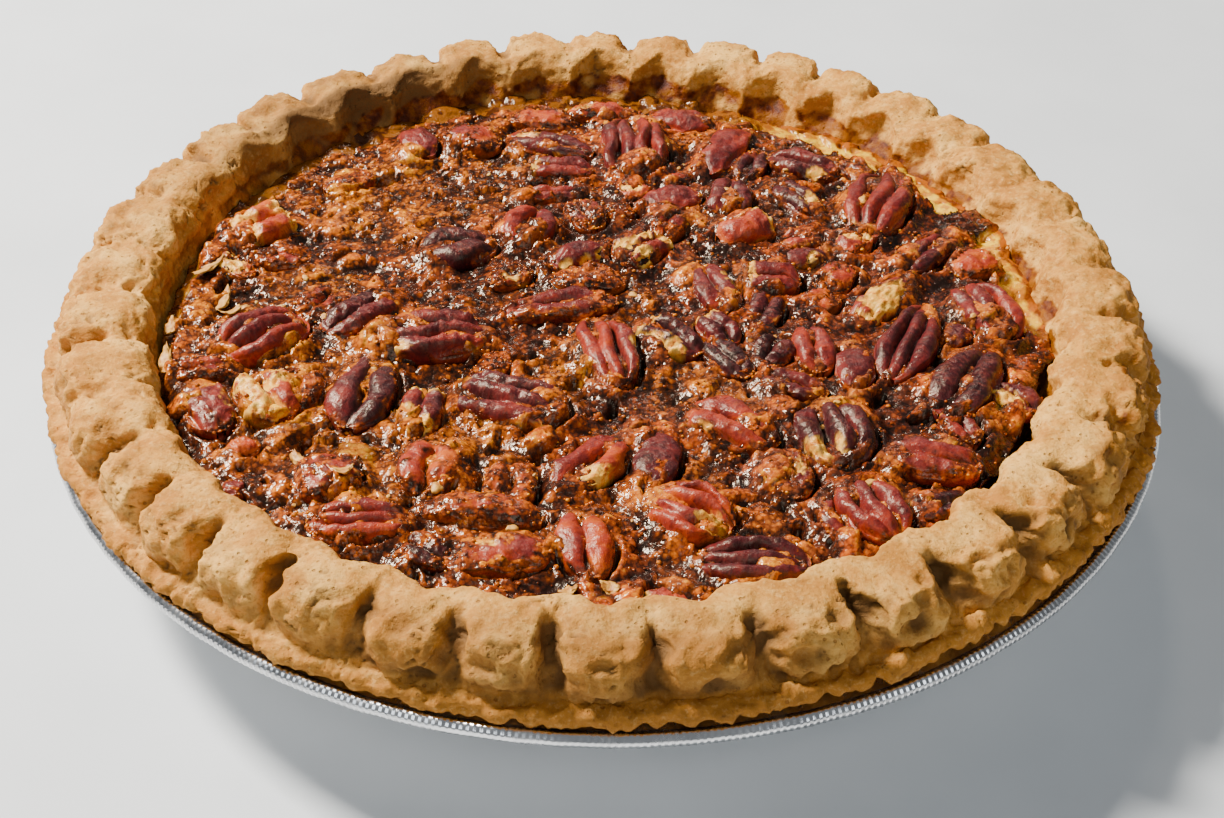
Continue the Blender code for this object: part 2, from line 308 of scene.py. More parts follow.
class Shader:
    """Builds one Principled material out of nodes, with sizes in millimetres."""

    def __init__(self, name):
        self.material = bpy.data.materials.new(name)
        self.material.use_nodes = True
        self.tree = self.material.node_tree
        place = self.add("ShaderNodeTexCoord").outputs["Object"]
        self.place = self.add("ShaderNodeVectorMath", {0: place, "Scale": 1 / MM}, operation="SCALE").outputs[0]

    def add(self, kind, inputs=None, **settings):
        node = self.tree.nodes.new(kind)
        for key, value in settings.items():
            setattr(node, key, value)
        for key, value in (inputs or {}).items():
            self.feed(node.inputs[key], value)
        return node

    def feed(self, socket, value):
        if isinstance(value, bpy.types.NodeSocket):
            self.tree.links.new(value, socket)
        else:
            socket.default_value = value

    def noise(self, size, detail=3.0, roughness=0.55, place=None, distortion=0.0):
        """Cloudy noise about 0.5, with features of a size."""
        inputs = {"Vector": place or self.place, "Scale": 1 / size, "Detail": detail, "Roughness": roughness,
                  "Distortion": distortion}
        return self.add("ShaderNodeTexNoise", inputs).outputs["Fac"]

    def cells(self, size):
        return self.add("ShaderNodeTexVoronoi", {"Vector": self.place, "Scale": 1 / size}).outputs

    def mask(self, name):
        return self.add("ShaderNodeAttribute", attribute_name=name).outputs["Fac"]

    def sideways(self, low, high, to_low, to_high):
        """One value on the pie's left and another on its right."""
        x = self.add("ShaderNodeSeparateXYZ", {"Vector": self.place}).outputs["X"]
        return self.span(x, low, high, to_low, to_high)

    def maths(self, operation, a, b, c=0.0):
        return self.add("ShaderNodeMath", {0: a, 1: b, 2: c}, operation=operation).outputs[0]

    def times(self, a, b, plus=0.0):
        return self.maths("MULTIPLY_ADD", a, b, plus)

    def span(self, value, low, high, to_low=0.0, to_high=1.0):
        """Maps low..high smoothly onto another range, clamped."""
        inputs = {"Value": value, "From Min": low, "From Max": high, "To Min": to_low, "To Max": to_high}
        return self.add("ShaderNodeMapRange", inputs, interpolation_type="SMOOTHSTEP").outputs["Result"]

    def mix(self, share, a, b, kind="RGBA"):
        """From a to b by a share, as colours or as vectors."""
        a, b = ((*colour, 1.0) if isinstance(colour, tuple) else colour for colour in (a, b))
        first, second, result = MIX_SOCKETS[kind]
        return self.add("ShaderNodeMix", {0: share, first: a, second: b}, data_type=kind).outputs[result]

    def ramp(self, value, *stops):
        """Colours by value, from stops of a position, red, green and blue."""
        node = self.add("ShaderNodeValToRGB", {"Fac": value})
        for i, (position, *colour) in enumerate(stops):
            element = node.color_ramp.elements[i] if i < 2 else node.color_ramp.elements.new(position)
            element.position = position
            element.color = (*colour, 1.0)
        return node.outputs["Color"]

    def bump(self, height, distance, strength, under=None):
        inputs = {"Height": height, "Distance": distance * MM, "Strength": strength}
        if under is not None:
            inputs["Normal"] = under
        return self.add("ShaderNodeBump", inputs).outputs["Normal"]

    def finish(self, **values):
        surface = self.tree.nodes["Principled BSDF"]
        for key, value in values.items():
            self.feed(surface.inputs[SOCKETS[key]], value)
        return self.material


def froth_colour(mat, raised, painted_shade, amber):
    """Baked syrup froth: rust and brown, amber where it is thin, lighter where raised, partly as painted light on the
    tops, and nearly black with painted shade in crevices.
    """
    grains = mat.cells(0.95)
    kind = mat.add("ShaderNodeSeparateColor", {"Color": grains["Color"]}).outputs
    level = -0.715
    # raised lightens the froth: partly the thin syrup's own amber, partly painted light on the tops
    for value, weight in ((mat.noise(7.0, 5.0, 0.62), 1.15), (raised, 0.78), (mat.noise(1.3, 3.0, 0.65), 0.45),
                          (kind["Red"], 0.34), (grains["Distance"], -0.35)):
        level = mat.times(value, weight, level)
    rust = mat.ramp(level, (0.0, 0.012, 0.004, 0.003), (0.22, 0.052, 0.011, 0.005), (0.42, 0.175, 0.026, 0.004),
                    (0.62, 0.42, 0.064, 0.005), (0.85, 0.66, 0.135, 0.005), (1.0, 0.82, 0.25, 0.012))
    gold = mat.ramp(level, (0.0, 0.018, 0.005, 0.002), (0.24, 0.09, 0.018, 0.002), (0.42, 0.29, 0.062, 0.002),
                    (0.62, 0.54, 0.15, 0.002), (0.85, 0.74, 0.28, 0.003), (1.0, 0.88, 0.44, 0.02))
    brown = mat.ramp(level, (0.0, 0.014, 0.005, 0.004), (0.4, 0.105, 0.026, 0.012), (0.8, 0.3, 0.085, 0.03))
    skin = mat.times(mat.sideways(-70.0, 60.0, 0.2, 0.62), mat.span(mat.noise(9.0), 0.44, 0.6))
    golden = mat.times(mat.span(kind["Green"], 0.55, 1.0), mat.span(level, 0.4, 0.8, 0.0, 0.7))
    colour = mat.mix(mat.maths("MAXIMUM", amber, golden), mat.mix(skin, rust, brown), gold)
    # painted shade: nearly black in crevices, openings, gaps and nut grooves
    return mat.mix(mat.times(painted_shade, 0.94), colour, (0.008, 0.004, 0.003))


def froth_normal(mat):
    """Small bubbles on syrup, each with its own glint."""
    ripples = mat.bump(mat.noise(2.4), 0.3, 0.9)
    for size, deep in ((1.2, 0.17), (0.6, 0.06)):
        away = mat.cells(size)["Distance"]
        ripples = mat.bump(mat.maths("SUBTRACT", 1.0, mat.times(away, away)), deep, 0.9, ripples)
    return ripples


def make_filling_material():
    """Frothy syrup, and smooth yellow custard with syrup along its shore."""
    mat = Shader("frothy_syrup")
    # the third mask is the painted shade of crevices, openings and gaps
    froth = froth_colour(mat, mat.mask("raised"), mat.mask("painted_shade"), mat.mask("amber"))
    drips = mat.span(mat.noise(3.2, 4.0), 0.47, 0.58)
    pale = mat.ramp(mat.noise(3.0, 4.0), (0.36, 0.46, 0.15, 0.002), (0.46, 0.7, 0.34, 0.006),
                    (0.58, 0.86, 0.52, 0.02))
    pale = mat.mix(mat.times(drips, 0.75), pale, (0.46, 0.13, 0.012))
    deep = mat.mix(drips, (0.2, 0.06, 0.004), (0.055, 0.012, 0.002))
    fringe = mat.mix(drips, (0.36, 0.085, 0.001), (0.15, 0.028, 0.001))
    pale = mat.mix(mat.mask("syrupy"), pale, mat.mix(mat.sideways(15.0, 60.0, 0.0, 1.0), deep, fringe))
    colour = mat.mix(mat.mask("custard"), froth, pale)
    rough = mat.span(mat.noise(2.0, 2.0), 0.3, 0.7, 0.11, 0.27)
    return mat.finish(colour=colour, rough=rough, normal=froth_normal(mat), specular=0.42, tint=WARM)


def make_pecan_material():
    """Wrinkled nut skin from purple to orange-red, with painted shade in its grooves and a painted sheen on its ridge
    tops, cream where broken, with froth baked on its sides.
    """
    mat = Shader("pecan_skin")
    tone, groove, froth = mat.mask("tone"), mat.mask("groove"), mat.mask("froth")
    own = {"X": mat.mask("lengthwise"), "Y": mat.mask("crosswise"), "Z": tone}
    own = mat.add("ShaderNodeCombineXYZ", own).outputs[0]
    lines = mat.add("ShaderNodeVectorMath", {0: own, 1: (1.0, 0.45, 25.0)}, operation="MULTIPLY").outputs[0]
    tone = mat.times(mat.noise(2.0, 5.0, 0.7, place=lines), 0.9, mat.maths("SUBTRACT", tone, 0.45))
    skin = mat.ramp(tone, (0.0, 0.014, 0.003, 0.005), (0.25, 0.056, 0.007, 0.01), (0.5, 0.16, 0.014, 0.013),
                    (0.75, 0.36, 0.032, 0.009), (1.0, 0.56, 0.1, 0.004))
    # painted sheen: paler and pinkish on the ridge tops, as strong as the nut's paleness
    ridge_sheen = mat.times(mat.span(mat.noise(0.9, 3.0, 0.6, place=lines), 0.44, 0.7), mat.mask("relief"))
    skin = mat.mix(mat.times(ridge_sheen, mat.times(mat.mask("pale"), 0.46)), skin, (0.46, 0.098, 0.062))
    # painted shade: nearly black in the grooves
    skin = mat.mix(mat.times(groove, 0.94), skin, (0.01, 0.003, 0.003))
    meat = mat.ramp(mat.noise(1.6, 4.0, 0.65), (0.3, 0.38, 0.08, 0.008), (0.42, 0.76, 0.27, 0.02),
                    (0.52, 0.91, 0.45, 0.05), (0.72, 0.95, 0.6, 0.125))
    colour = mat.mix(mat.mask("flesh"), skin, meat)
    # froth on the nut, with painted shade in the grooves
    colour = mat.mix(froth, colour, froth_colour(mat, mat.mask("raised"), groove, 0.12))
    wrinkles = mat.bump(mat.noise(2.2, 4.0, 0.6, place=own), 0.55, 0.9)
    wrinkles = mat.bump(mat.noise(0.7, 3.0, 0.6), 0.12, 0.8, wrinkles)
    normal = mat.mix(froth, wrinkles, froth_normal(mat), "VECTOR")
    rough = mat.times(froth, -0.18, mat.span(mat.noise(1.5, 2.0), 0.3, 0.7, 0.28, 0.46))
    return mat.finish(colour=colour, rough=rough, normal=normal, specular=0.45, tint=WARM)


def make_pastry_material():
    """Baked shortcrust: tan, toasted where it stands out, stained with syrup near the filling, with painted shade in
    its pits and hollows.
    """
    mat = Shader("baked_pastry")
    blotches, mottle, fine = mat.noise(11.0, 4.0, 0.6), mat.noise(1.8, 4.0, 0.62), mat.noise(1.0, 4.0, 0.7)
    pores = mat.times(mat.span(mat.cells(1.7)["Distance"], 0.26, 0.12), mat.span(blotches, 0.42, 0.6))
    toast = mat.times(mottle, 0.8, mat.maths("SUBTRACT", mat.mask("toast"), 0.4))
    colour = mat.ramp(blotches, (0.36, 0.47, 0.18, 0.022), (0.5, 0.66, 0.29, 0.045), (0.64, 0.84, 0.45, 0.1))
    for share, over in (
        (mat.span(mottle, 0.5, 0.68, 0.0, 0.55), (0.84, 0.47, 0.13)),
        (mat.span(toast, 0.1, 0.95), (0.47, 0.18, 0.02)),
        (mat.span(fine, 0.5, 0.32, 0.0, 0.65), (0.4, 0.15, 0.024)),
        (mat.span(fine, 0.52, 0.72, 0.0, 0.32), (0.92, 0.58, 0.21)),
        # painted shade in the small pits of the pores, and from the hollow mask in hollows and shadowed stretches
        (mat.times(pores, 0.6), (0.26, 0.085, 0.012)),
        (mat.mask("hollow"), (0.16, 0.074, 0.02)),
    ):
        colour = mat.mix(share, colour, over)
    thin = mat.maths("ADD", mat.noise(3.2, 4.0), mat.sideways(0.0, 70.0, -0.02, 0.05))
    syrup = mat.ramp(thin, (0.38, 0.07, 0.011, 0.001), (0.47, 0.15, 0.03, 0.001), (0.6, 0.26, 0.078, 0.001))
    stain = mat.mask("stain")
    pits = mat.bump(mat.noise(2.6, 4.0, 0.6), 0.55, 0.8, mat.bump(fine, 0.34, 0.9))
    return mat.finish(colour=mat.mix(stain, colour, syrup), rough=mat.times(stain, -0.3, 0.75),
                      normal=mat.bump(pores, -0.25, 0.8, pits), specular=0.15)


def make_foil_material():
    mat = Shader("foil")
    creases = mat.noise(5.0, 4.0, 0.6, distortion=0.6)
    smudges = mat.ramp(mat.noise(14.0), (0.3, 0.74, 0.74, 0.75), (0.7, 0.9, 0.9, 0.91))
    normal = mat.bump(mat.mask("crimp"), 0.25, 1.0, mat.bump(creases, 0.25, 0.5))
    return mat.finish(colour=smudges, rough=mat.span(creases, 0.3, 0.7, 0.16, 0.32), normal=normal, metallic=1.0)


def make_bead_material():
    mat = Shader("syrup_beads")
    colour = froth_colour(mat, mat.mask("raised"), 0.0, mat.mask("amber"))
    return mat.finish(colour=colour, rough=0.14, normal=mat.bump(mat.noise(0.6, 2.0), 0.03, 0.6), specular=0.5,
                      tint=WARM)


def make_crumb_material():
    mat = Shader("nut_crumb")
    colour = mat.ramp(mat.noise(1.2), (0.3, 0.42, 0.125, 0.008), (0.65, 0.8, 0.42, 0.065))
    return mat.finish(colour=colour, rough=0.5, normal=mat.bump(mat.noise(0.4), 0.12, 0.8))


# ======== crust
SLOT_FORM = (  # share of the way from crest to heel, how far in and how far down a slot cuts there
    (-0.16, -0.02, 0.18, 0.38, 0.58, 0.78, 0.94, 1.06),
    (0.0, 0.8, 2.9, 5.3, 6.0, 4.0, 1.4, 0.0),
    (0.0, 0.5, 2.3, 3.2, 1.7, 0.4, 0.0, 0.0),
)


def flute_azimuth(even_angle):
    """Turns an even spacing of flutes into the hand-made one, as in the solids."""
    drift = sum(size * np.sin(times * even_angle + lead) for times, size, lead in FLUTE_DRIFTS)
    return even_angle + FLUTE_START + drift


def per_flute(flute, seed):
    """A number from 0 to 1 for each flute, passing evenly from one flute to the next."""
    before = np.floor(flute)
    share = smooth(0.25, 0.75, flute - before)
    return draws(before % FLUTES, 0, seed) * (1 - share) + draws((before + 1) % FLUTES, 0, seed) * share


def pitch_share(flute, index, lean=0.0):
    """Signed distance from a flute, or from a place a little beside it, as a share of the pitch."""
    return (flute - index + FLUTES / 2) % FLUTES - FLUTES / 2 - lean


def inner_dents(flute, down):
    """How deep the rim is pressed, by the millimetres down its inside from the crest: wider further down."""
    index = np.round(flute) % FLUTES
    away = pitch_share(flute, index, 0.1 * (draws(index, 0, 31) - 0.3))
    width = (0.08 + 0.29 * smooth(0, 9.5, down)) * (0.85 + 0.3 * draws(index, 0, 33)) * np.where(away > 0, 0.9, 1.1)
    depth = smooth(-0.5, 7, down) * (0.62 + 0.55 * draws(index, 0, 32))
    return depth * bell(away, width, power=2.2) * smooth(0.5, 0.4, np.abs(pitch_share(flute, index)))


def outer_slots(flute, fall):
    """How much of a slot is between two outer lobes: flat-floored, leaning and steeper on one side."""
    index = np.floor(flute) % FLUTES
    lean = 0.09 * (draws(index, 0, 41) - 0.5) + 0.16 * (fall - 0.5) * (draws(index, 0, 44) - 0.4)
    away = pitch_share(flute, index + 0.5, lean)
    width = np.where(away > 0, 0.15, 0.105) * (0.75 + 0.5 * draws(index, 0, 42)) * (0.75 + 0.4 * fall)
    start = smooth(-0.16, 0, fall - 0.22 * draws(index, 0, 50) + 0.08)
    return start * (0.66 + 0.48 * draws(index, 0, 43)) * bell(away, width, power=3.0)


def lobe_hollows(flute, height):
    """Shallow fingertip dents in the middle of many outer lobes."""
    index = np.round(flute) % FLUTES
    away = pitch_share(flute, index, 0.2 * (draws(index, 0, 45) - 0.5)) / (0.13 + 0.08 * draws(index, 0, 46))
    down = (height - 35.6 - 2.8 * draws(index, 0, 47)) / (1.5 + 0.8 * draws(index, 0, 48))
    return smooth(0.25, 0.8, draws(index, 0, 49)) * np.exp(-(away**2 + down**2) ** 1.2)


def lay_out_crust():
    """The crust's section turned into a grid, with each point's place in it and its share of zones and forms."""
    line = spline(SECTION)
    runs = np.concatenate([[0.0], np.cumsum(np.linalg.norm(np.diff(line, axis=0), axis=1))])
    columns = FLUTES * COLUMNS_PER_FLUTE
    spread = np.arange(columns) / COLUMNS_PER_FLUTE
    spread = spread - SLOT_GATHER / TURN * np.sin(TURN * (spread - 0.5))
    flute = np.tile(spread, len(line))
    azimuth = flute_azimuth(flute * TURN / FLUTES)
    zones = {zone: sector(azimuth, *place) for zone, place in ZONES.items()}
    # c is the crust while it is made: its fields hold a value for each point of the grid
    c = SimpleNamespace(rows=len(line), columns=columns, flute=flute, azimuth=azimuth, **zones)
    c.radius, c.height, c.run = (np.repeat(values, columns) for values in (*line.T, runs))
    c.crest_run = runs[np.argmin(np.abs(line[:, 0] - CREST_RADIUS) + 4 * (line[:, 1] < 41))]
    c.heel_run = runs[np.argmin(np.abs(line - HEEL).sum(axis=1))]
    c.edge_run = runs[np.argmax(line[:, 0])]
    c.fall = (c.run - c.crest_run) / (c.heel_run - c.crest_run)
    c.along = stack(c.azimuth * 100, 0.0, c.run)
    c.inner = smooth(108, 104, c.radius) * smooth(24, 31, c.height)
    c.outer = smooth(108, 112.5, c.radius)
    above_heel = c.run < c.heel_run + 1.0
    c.wall = c.outer * smooth(31.6, 33.6, c.height) * above_heel
    c.grip = smooth(31.3, 36.8, c.height) * above_heel
    c.crest = smooth(39, 42.2, c.height)
    c.flange = smooth(c.heel_run + 0.5, c.heel_run + 2.5, c.run)
    c.edge = bell(c.run, 2.6, c.edge_run - 0.3)
    return c


def form_crust(c):
    """The dents, slots, knuckles, lips, creases and torn edge of the rim, as a share of each at every point."""
    c.index = np.floor(c.flute) % FLUTES
    c.wave = np.cos(TURN * c.flute)
    ring = c.along * (1, 1, 0)
    c.dent = inner_dents(c.flute, c.crest_run - 3.0 * (1 - c.rear) - c.run)
    c.hollow = lobe_hollows(c.flute, c.height)
    c.slot = outer_slots(c.flute, c.fall) * (1 + 0.35 * c.torn) * (1 - 0.45 * c.right) * (1 - 0.7 * c.calm)
    c.slot *= (1 - 0.4 * c.back) * (1 - c.left * (0.64 + 0.34 * (draws(c.index, 0, 70) > 0.4)))
    across = pitch_share(c.flute, c.index + 0.5, 0.07 * (draws(c.index, 0, 41) - 0.5))
    c.knuckle = bell(across + 0.1 * noise(c.along * (1, 1, 0.5), 5, 68), 0.15, power=1.6)
    c.lip = bell(np.abs(across), 0.055, 0.185 + 0.05 * (draws(c.index, 0, 51) - 0.5) + 0.03 * noise(c.along, 4, 52))
    c.lip *= smooth(-0.12, 0.1, c.fall) * smooth(0.95, 0.5, c.fall)
    c.lip *= (1 - 0.8 * c.left) * (1 - 0.8 * c.calm) * draws(c.index + (across > 0) * 100, 0, 53)
    c.recess = bell(c.run, 1.3, c.heel_run - 0.6) * smooth(0, 0.5, noise(ring, 7, 5))
    c.wander = 0.09 * noise(c.along, 5, 64) + 0.05 * noise(c.along, 1.8, 66)
    c.crease = c.crest * bell(across + c.wander, 0.055) * smooth(-0.3, 0.4, noise(c.along, 4, 67))
    c.crease *= smooth(0.2, 0.8, draws(c.index, 0, 65)) * c.left
    c.ragged = 0.6 * noise(ring, 9, 17) + 0.15 * noise(ring, 3.4, 19) + 0.1 * noise(c.along, 1.6, 18)
    c.ragged *= 1 - 0.65 * c.left
    c.flange_edge = smooth(116.4, 119.4, c.radius) * (c.run > c.heel_run)
    c.swell = unit(1 - ((c.run - c.heel_run - 2.9) / 2.3) ** 2) * (0.35 + 0.65 * c.front)


def pinch_crust(c):
    """Moves the grid's points out and up by the forms."""
    # outwards: the flutes, dents, knuckles and flatter stretches of the inner wall, and the full back
    push = c.grip * c.wave * (0.55 + 0.5 * c.front + 0.35 * c.outer)
    push *= (1 - c.left * (0.7 - 0.2 * c.outer)) * (1 - 0.6 * c.calm)
    push += c.inner * c.grip * (2.3 + 1.5 * c.rear) * c.dent * (1 - 0.85 * c.left) * (1 - 0.6 * c.right)
    push += c.inner * smooth(33, 37, c.height) * (c.left * (3.2 * c.knuckle - 2.0) - 2.2 * c.front - 1.0 * c.right)
    push += (smooth(108, 113, c.radius) * (c.run < c.edge_run) * smooth(32.5, 34.5, c.height)
             * (1.4 * c.back + 1.3 * c.left + 0.9 * c.calm))
    # the outer lobes' slots, lips and fingertip dents, the groove at their foot and the flange's torn edge
    push += 1.5 * c.lip - np.interp(c.fall, SLOT_FORM[0], SLOT_FORM[1]) * c.slot
    push -= c.wall * (0.3 + (1.3 + 0.9 * c.front + 0.8 * c.torn) * c.hollow - 1.3 * (per_flute(c.flute, 61) - 0.35))
    push -= (2.0 - 0.6 * c.front) * c.recess + 1.2 * bell(c.fall, 0.15, 1.0) * c.front * c.outer
    push -= c.flange_edge * (0.6 * c.bare + 0.7 - 1.3 * np.maximum(c.left, c.over) + 1.1 * c.ragged)

    # upwards: an uneven crest, the slots, and a swell along the flange
    lift = c.crest * ((per_flute(c.flute, 62) - 0.6) * 0.9 - (1.0 - 0.5 * c.front) * (1 - c.wave) / 2)
    lift -= c.crest * c.left * 1.5 * c.knuckle * draws(c.index, 0, 69)
    lift += c.swell - np.interp(c.fall, SLOT_FORM[0], SLOT_FORM[2]) * c.slot - 1.5 * c.crease
    lift += 0.7 * c.front * c.inner * smooth(37, 40, c.height)
    lift += 0.7 * c.back * c.outer * smooth(38, 40, c.height)
    lift += c.flange_edge * (0.6 * c.bare + 0.3 * c.ragged)
    c.radius, c.height = c.radius + push, c.height + lift


def roughen_crust(c):
    """The crust's points, roughened along their normals by lumps, cracks, folds and crumbs."""
    points = around(c.radius, c.azimuth, c.height)
    normal = normals_of_grid(points, c.rows, c.columns)
    if np.sum(normal[c.crest > 0.9][:, 2]) < 0:
        normal = -normal
    # lumps that get finer, cracks, folds like pinched dough, and the left's knotty crumb
    lump = 0.5 * fractal(points, 8.5, 3, 21) + (0.34 + 0.14 * c.outer) * fractal(points, 3.2, 3, 25, 0.65)
    lump += 0.22 * c.outer * noise(c.along * (1, 1, 0.3) + (0, 0, 50), 1.7, 36)
    lump += (0.34 * c.flange + 0.2 * c.left + 0.34 * (c.right + c.calm)) * fractal(points, 1.9, 2, 44)
    lines = np.abs(noise(points, 6, 27) + 0.35 * noise(points, 2.2, 28))
    c.crack = smooth(0.05, 0, lines) * smooth(0.05, 0.5, noise(points, 15, 29) + 0.45 * c.left + 0.15 * c.outer)
    c.ridges = 0.3 - np.abs(fractal(points * (1, 1, 0.7), 5.4, 2, 39) + 0.25 * c.wander)
    folds = 3.6 * (0.36 - np.abs(fractal(points * (1, 1, 1.4), 6, 2, 33))) * c.right * c.outer
    folds += (2.4 * c.ridges * (c.outer * (0.35 + 0.35 * c.front) + 0.45 * c.torn + 0.25 * c.crest)
              * (1 - 0.6 * c.calm) * (1 - c.right))
    crumb = (0.5 - cobbles(points, 2.1, 35)[0]) * (c.edge * 0.35 + 0.12)
    knots = 0.14 * noise(points, 1.9, 37) - 0.4 * smooth(0.12, 0, np.abs(noise(points, 4.2, 38)))
    shown = np.maximum(smooth(29, 32, c.height) * (c.radius > 94), smooth(115, 117.5, c.radius))
    relief = shown * (lump - 0.75 * c.crack + folds + crumb + knots * c.left)
    points = points + normal * relief[:, None]
    points[:, 2] = np.minimum(points[:, 2], TOP - 0.05)
    radius = np.hypot(points[:, 0], points[:, 1])
    points[:, :2] *= np.minimum(1, (REACH - 0.4) / np.maximum(radius, 1))[:, None]
    return points


def crust_masks(c, points):
    """Where the crust is toasted, where painted shade darkens its dents, slots, folds and shadowed stretches, and
    where syrup has stained it.
    """
    patches = fractal(points, 12, 3, 71)
    blotch, browned = smooth(-0.2, 0.6, patches), smooth(0, 0.6, patches)
    above = 1 - c.flange
    # browned by the oven on the crest, edge and flange, and browner on the outside at the right and towards the front
    toast = (0.42 + 0.25 * c.front) * c.crest * blotch + 0.35 * c.edge + 0.2 * c.wall * browned
    toast += (0.2 + 0.35 * c.front * (1 - c.torn)) * c.flange
    toast += c.outer * (0.12 + 0.35 * c.right + 0.35 * c.brown * above)

    # painted shade, darker in hollows: slots, dents, the groove above the flange, folds, cracks and the foot of the
    # wall
    shade = 0.95 * smooth(0.15, 0.9, c.slot) * smooth(-0.1, 0.25, c.fall) * smooth(0.95, 0.5, c.fall)
    shade += (0.1 + 0.22 * c.rear) * c.inner * c.grip * c.dent + 0.14 * c.rear * c.inner * smooth(40, 35, c.height)
    # painted shade at the front, on its flange and crest, and painted shadow on the back-left crest and inner wall
    shade += 0.26 * c.brown * smooth(104, 109, c.radius) * above + 0.32 * c.front * (1 - c.torn) * c.flange
    shade += c.crest * (0.22 * c.front - 0.12 * c.torn + 0.4 * sector(c.azimuth, 136, 30))
    shade += (0.25 + 0.3 * c.torn) * c.outer * above * smooth(0.05, -0.25, c.ridges) * (1 - 0.5 * c.calm)
    shade += (0.75 - 0.2 * c.front) * c.recess + (0.3 + 0.35 * c.torn) * c.wall * c.hollow
    shade += 0.7 * c.crack + 0.35 * c.crease + 0.75 * sector(c.azimuth, 128, 24) * c.inner
    shade += ((0.2 + 0.3 * c.front) * (1 - 0.7 * c.torn) * c.wall * smooth(39.5, 34, c.height)
              * smooth(1.02, 0.94, c.fall))

    # syrup on the inner wall up to a ragged line, and in spots at the right
    around_rim = c.along * (1, 0, 0)
    drip = 35.6 + 1.3 * noise(around_rim, 6, 73) + noise(around_rim, 2.2, 74) - 1.3 * c.calm
    drip += 1.6 * sector(c.azimuth, 85, 44)
    stain = smooth(drip + 0.3, drip - 0.4, points[:, 2]) * smooth(105, 103, c.radius) * (c.run < c.crest_run)
    stain *= smooth(-0.5, -0.15, noise(c.along, 5, 75)) * (1 - 0.6 * c.left)
    spots = smooth(0.3, 0.45, noise(points, 2.6, 76)) * smooth(0.5, 0.9, c.right) * c.outer
    stain = np.maximum(stain, 0.9 * spots * smooth(36, 40, c.height))
    # the painted shade goes out as the hollow mask
    return {"toast": unit(toast), "hollow": unit(shade), "stain": unit(stain)}


def make_crust(material):
    c = lay_out_crust()
    form_crust(c)
    pinch_crust(c)
    points = roughen_crust(c)
    points, faces, masks = close_ends(points, c.rows, c.columns, crust_masks(c, points))
    make_piece("crust_baked", points, faces, material, ["crust"], masks)


# ======== foil pan
PAN_COLUMNS = 1216
PAN_PLEATS, PLEAT_DEPTH = 76, 0.9
BEAD_CRIMP = (0.16, 0.1)  # how far in and down every second column of the bead stands
PAN_REACH = (121.85, 28.6)  # the bead's greatest radius and height
PAN_SECTION = (  # radius, height and rows up to the next point
    (0.0, 0.6, 2), (78.0, 0.6, 3), (86.2, 1.0, 8), (110.6, 27.3, 2), (118.6, 27.7, 2), (119.4, 28.1, 3),
    (120.6, 28.55, 3), (121.85, 27.4, 3), (121.4, 25.9, 3), (119.6, 26.0, 2), (111.3, 26.8, 8), (87.0, 0.4, 2),
    (84.5, 0.0, 2), (0.0, 0.0, 0),
)


def make_pan(material):
    """Thin foil pan: pleated wall, narrow flange and a rolled bead with crimp marks."""
    line = np.clip(spline(PAN_SECTION), 0.0, PAN_REACH)
    rows = len(line)
    azimuth = np.tile(TURN * np.arange(PAN_COLUMNS) / PAN_COLUMNS, rows)
    tick = np.tile(np.arange(PAN_COLUMNS) % 2, rows)
    radius, height = (np.repeat(values, PAN_COLUMNS) for values in line.T)
    wall = smooth(3, 9, height) * smooth(27, 22, height)
    bead = smooth(119, 120.2, radius)
    ring = stack(azimuth * 118, height * 0.4)
    pleat = np.abs(np.sin(azimuth * PAN_PLEATS / 2 + 0.5 * noise(ring, 40, 81))) ** 0.6
    under = np.maximum(sector(azimuth, 184, 34), sector(azimuth, 26, 34))  # where the crust hides the bead
    crimp_in, crimp_down = BEAD_CRIMP
    crushed = 0.25 * np.abs(noise(ring, 9, 82))
    radius = radius - PLEAT_DEPTH * wall * (1 - pleat) - bead * (crimp_in * tick + crushed + 0.8 * under)
    flange = smooth(111.5, 113, radius) * (1 - bead)
    height = height + flange * 0.18 * noise(ring, 3, 83) - bead * (crimp_down * tick * (height > 26.5) + 0.4 * under)
    points, faces, masks = close_ends(around(radius, azimuth, height), rows, PAN_COLUMNS, {"crimp": bead * tick})
    make_piece("pan_foil", points, faces, material, ["pan"], masks)


# ======== pecans
RIDGES = {  # middle and half width of each ridge across a nut of so many, where its sides are -1 and 1
    1: ((0.0, 0.98),),
    2: ((-0.5, 0.47), (0.5, 0.46)),
    3: ((-0.67, 0.31), (-0.01, 0.3), (0.65, 0.32)),
    4: ((-0.77, 0.225), (-0.27, 0.235), (0.25, 0.23), (0.76, 0.22)),
}
NUT_RINGS = 40
NUT_TOP_STEPS = 46
NUT_BOTTOM_STEPS = 2
NUT_SUNK = 1.8  # a nut's hidden base lies this far down in the filling
EDGE_RISE = 0.22  # height of a nut's edge, as a share of its own
BIT = 100  # the sunk bits are numbered from here
BROKEN = (9, 12, 17, 24, 25, 27, 28, 32, 39, 40, 43, 45)
CURVED = (5, 8, 31, 47)
LEANS = {12: math.radians(16)}
SLANTS = {37: -0.22, 43: 0.3, 50: 0.12, 16: -0.2}  # how the tone changes across a nut
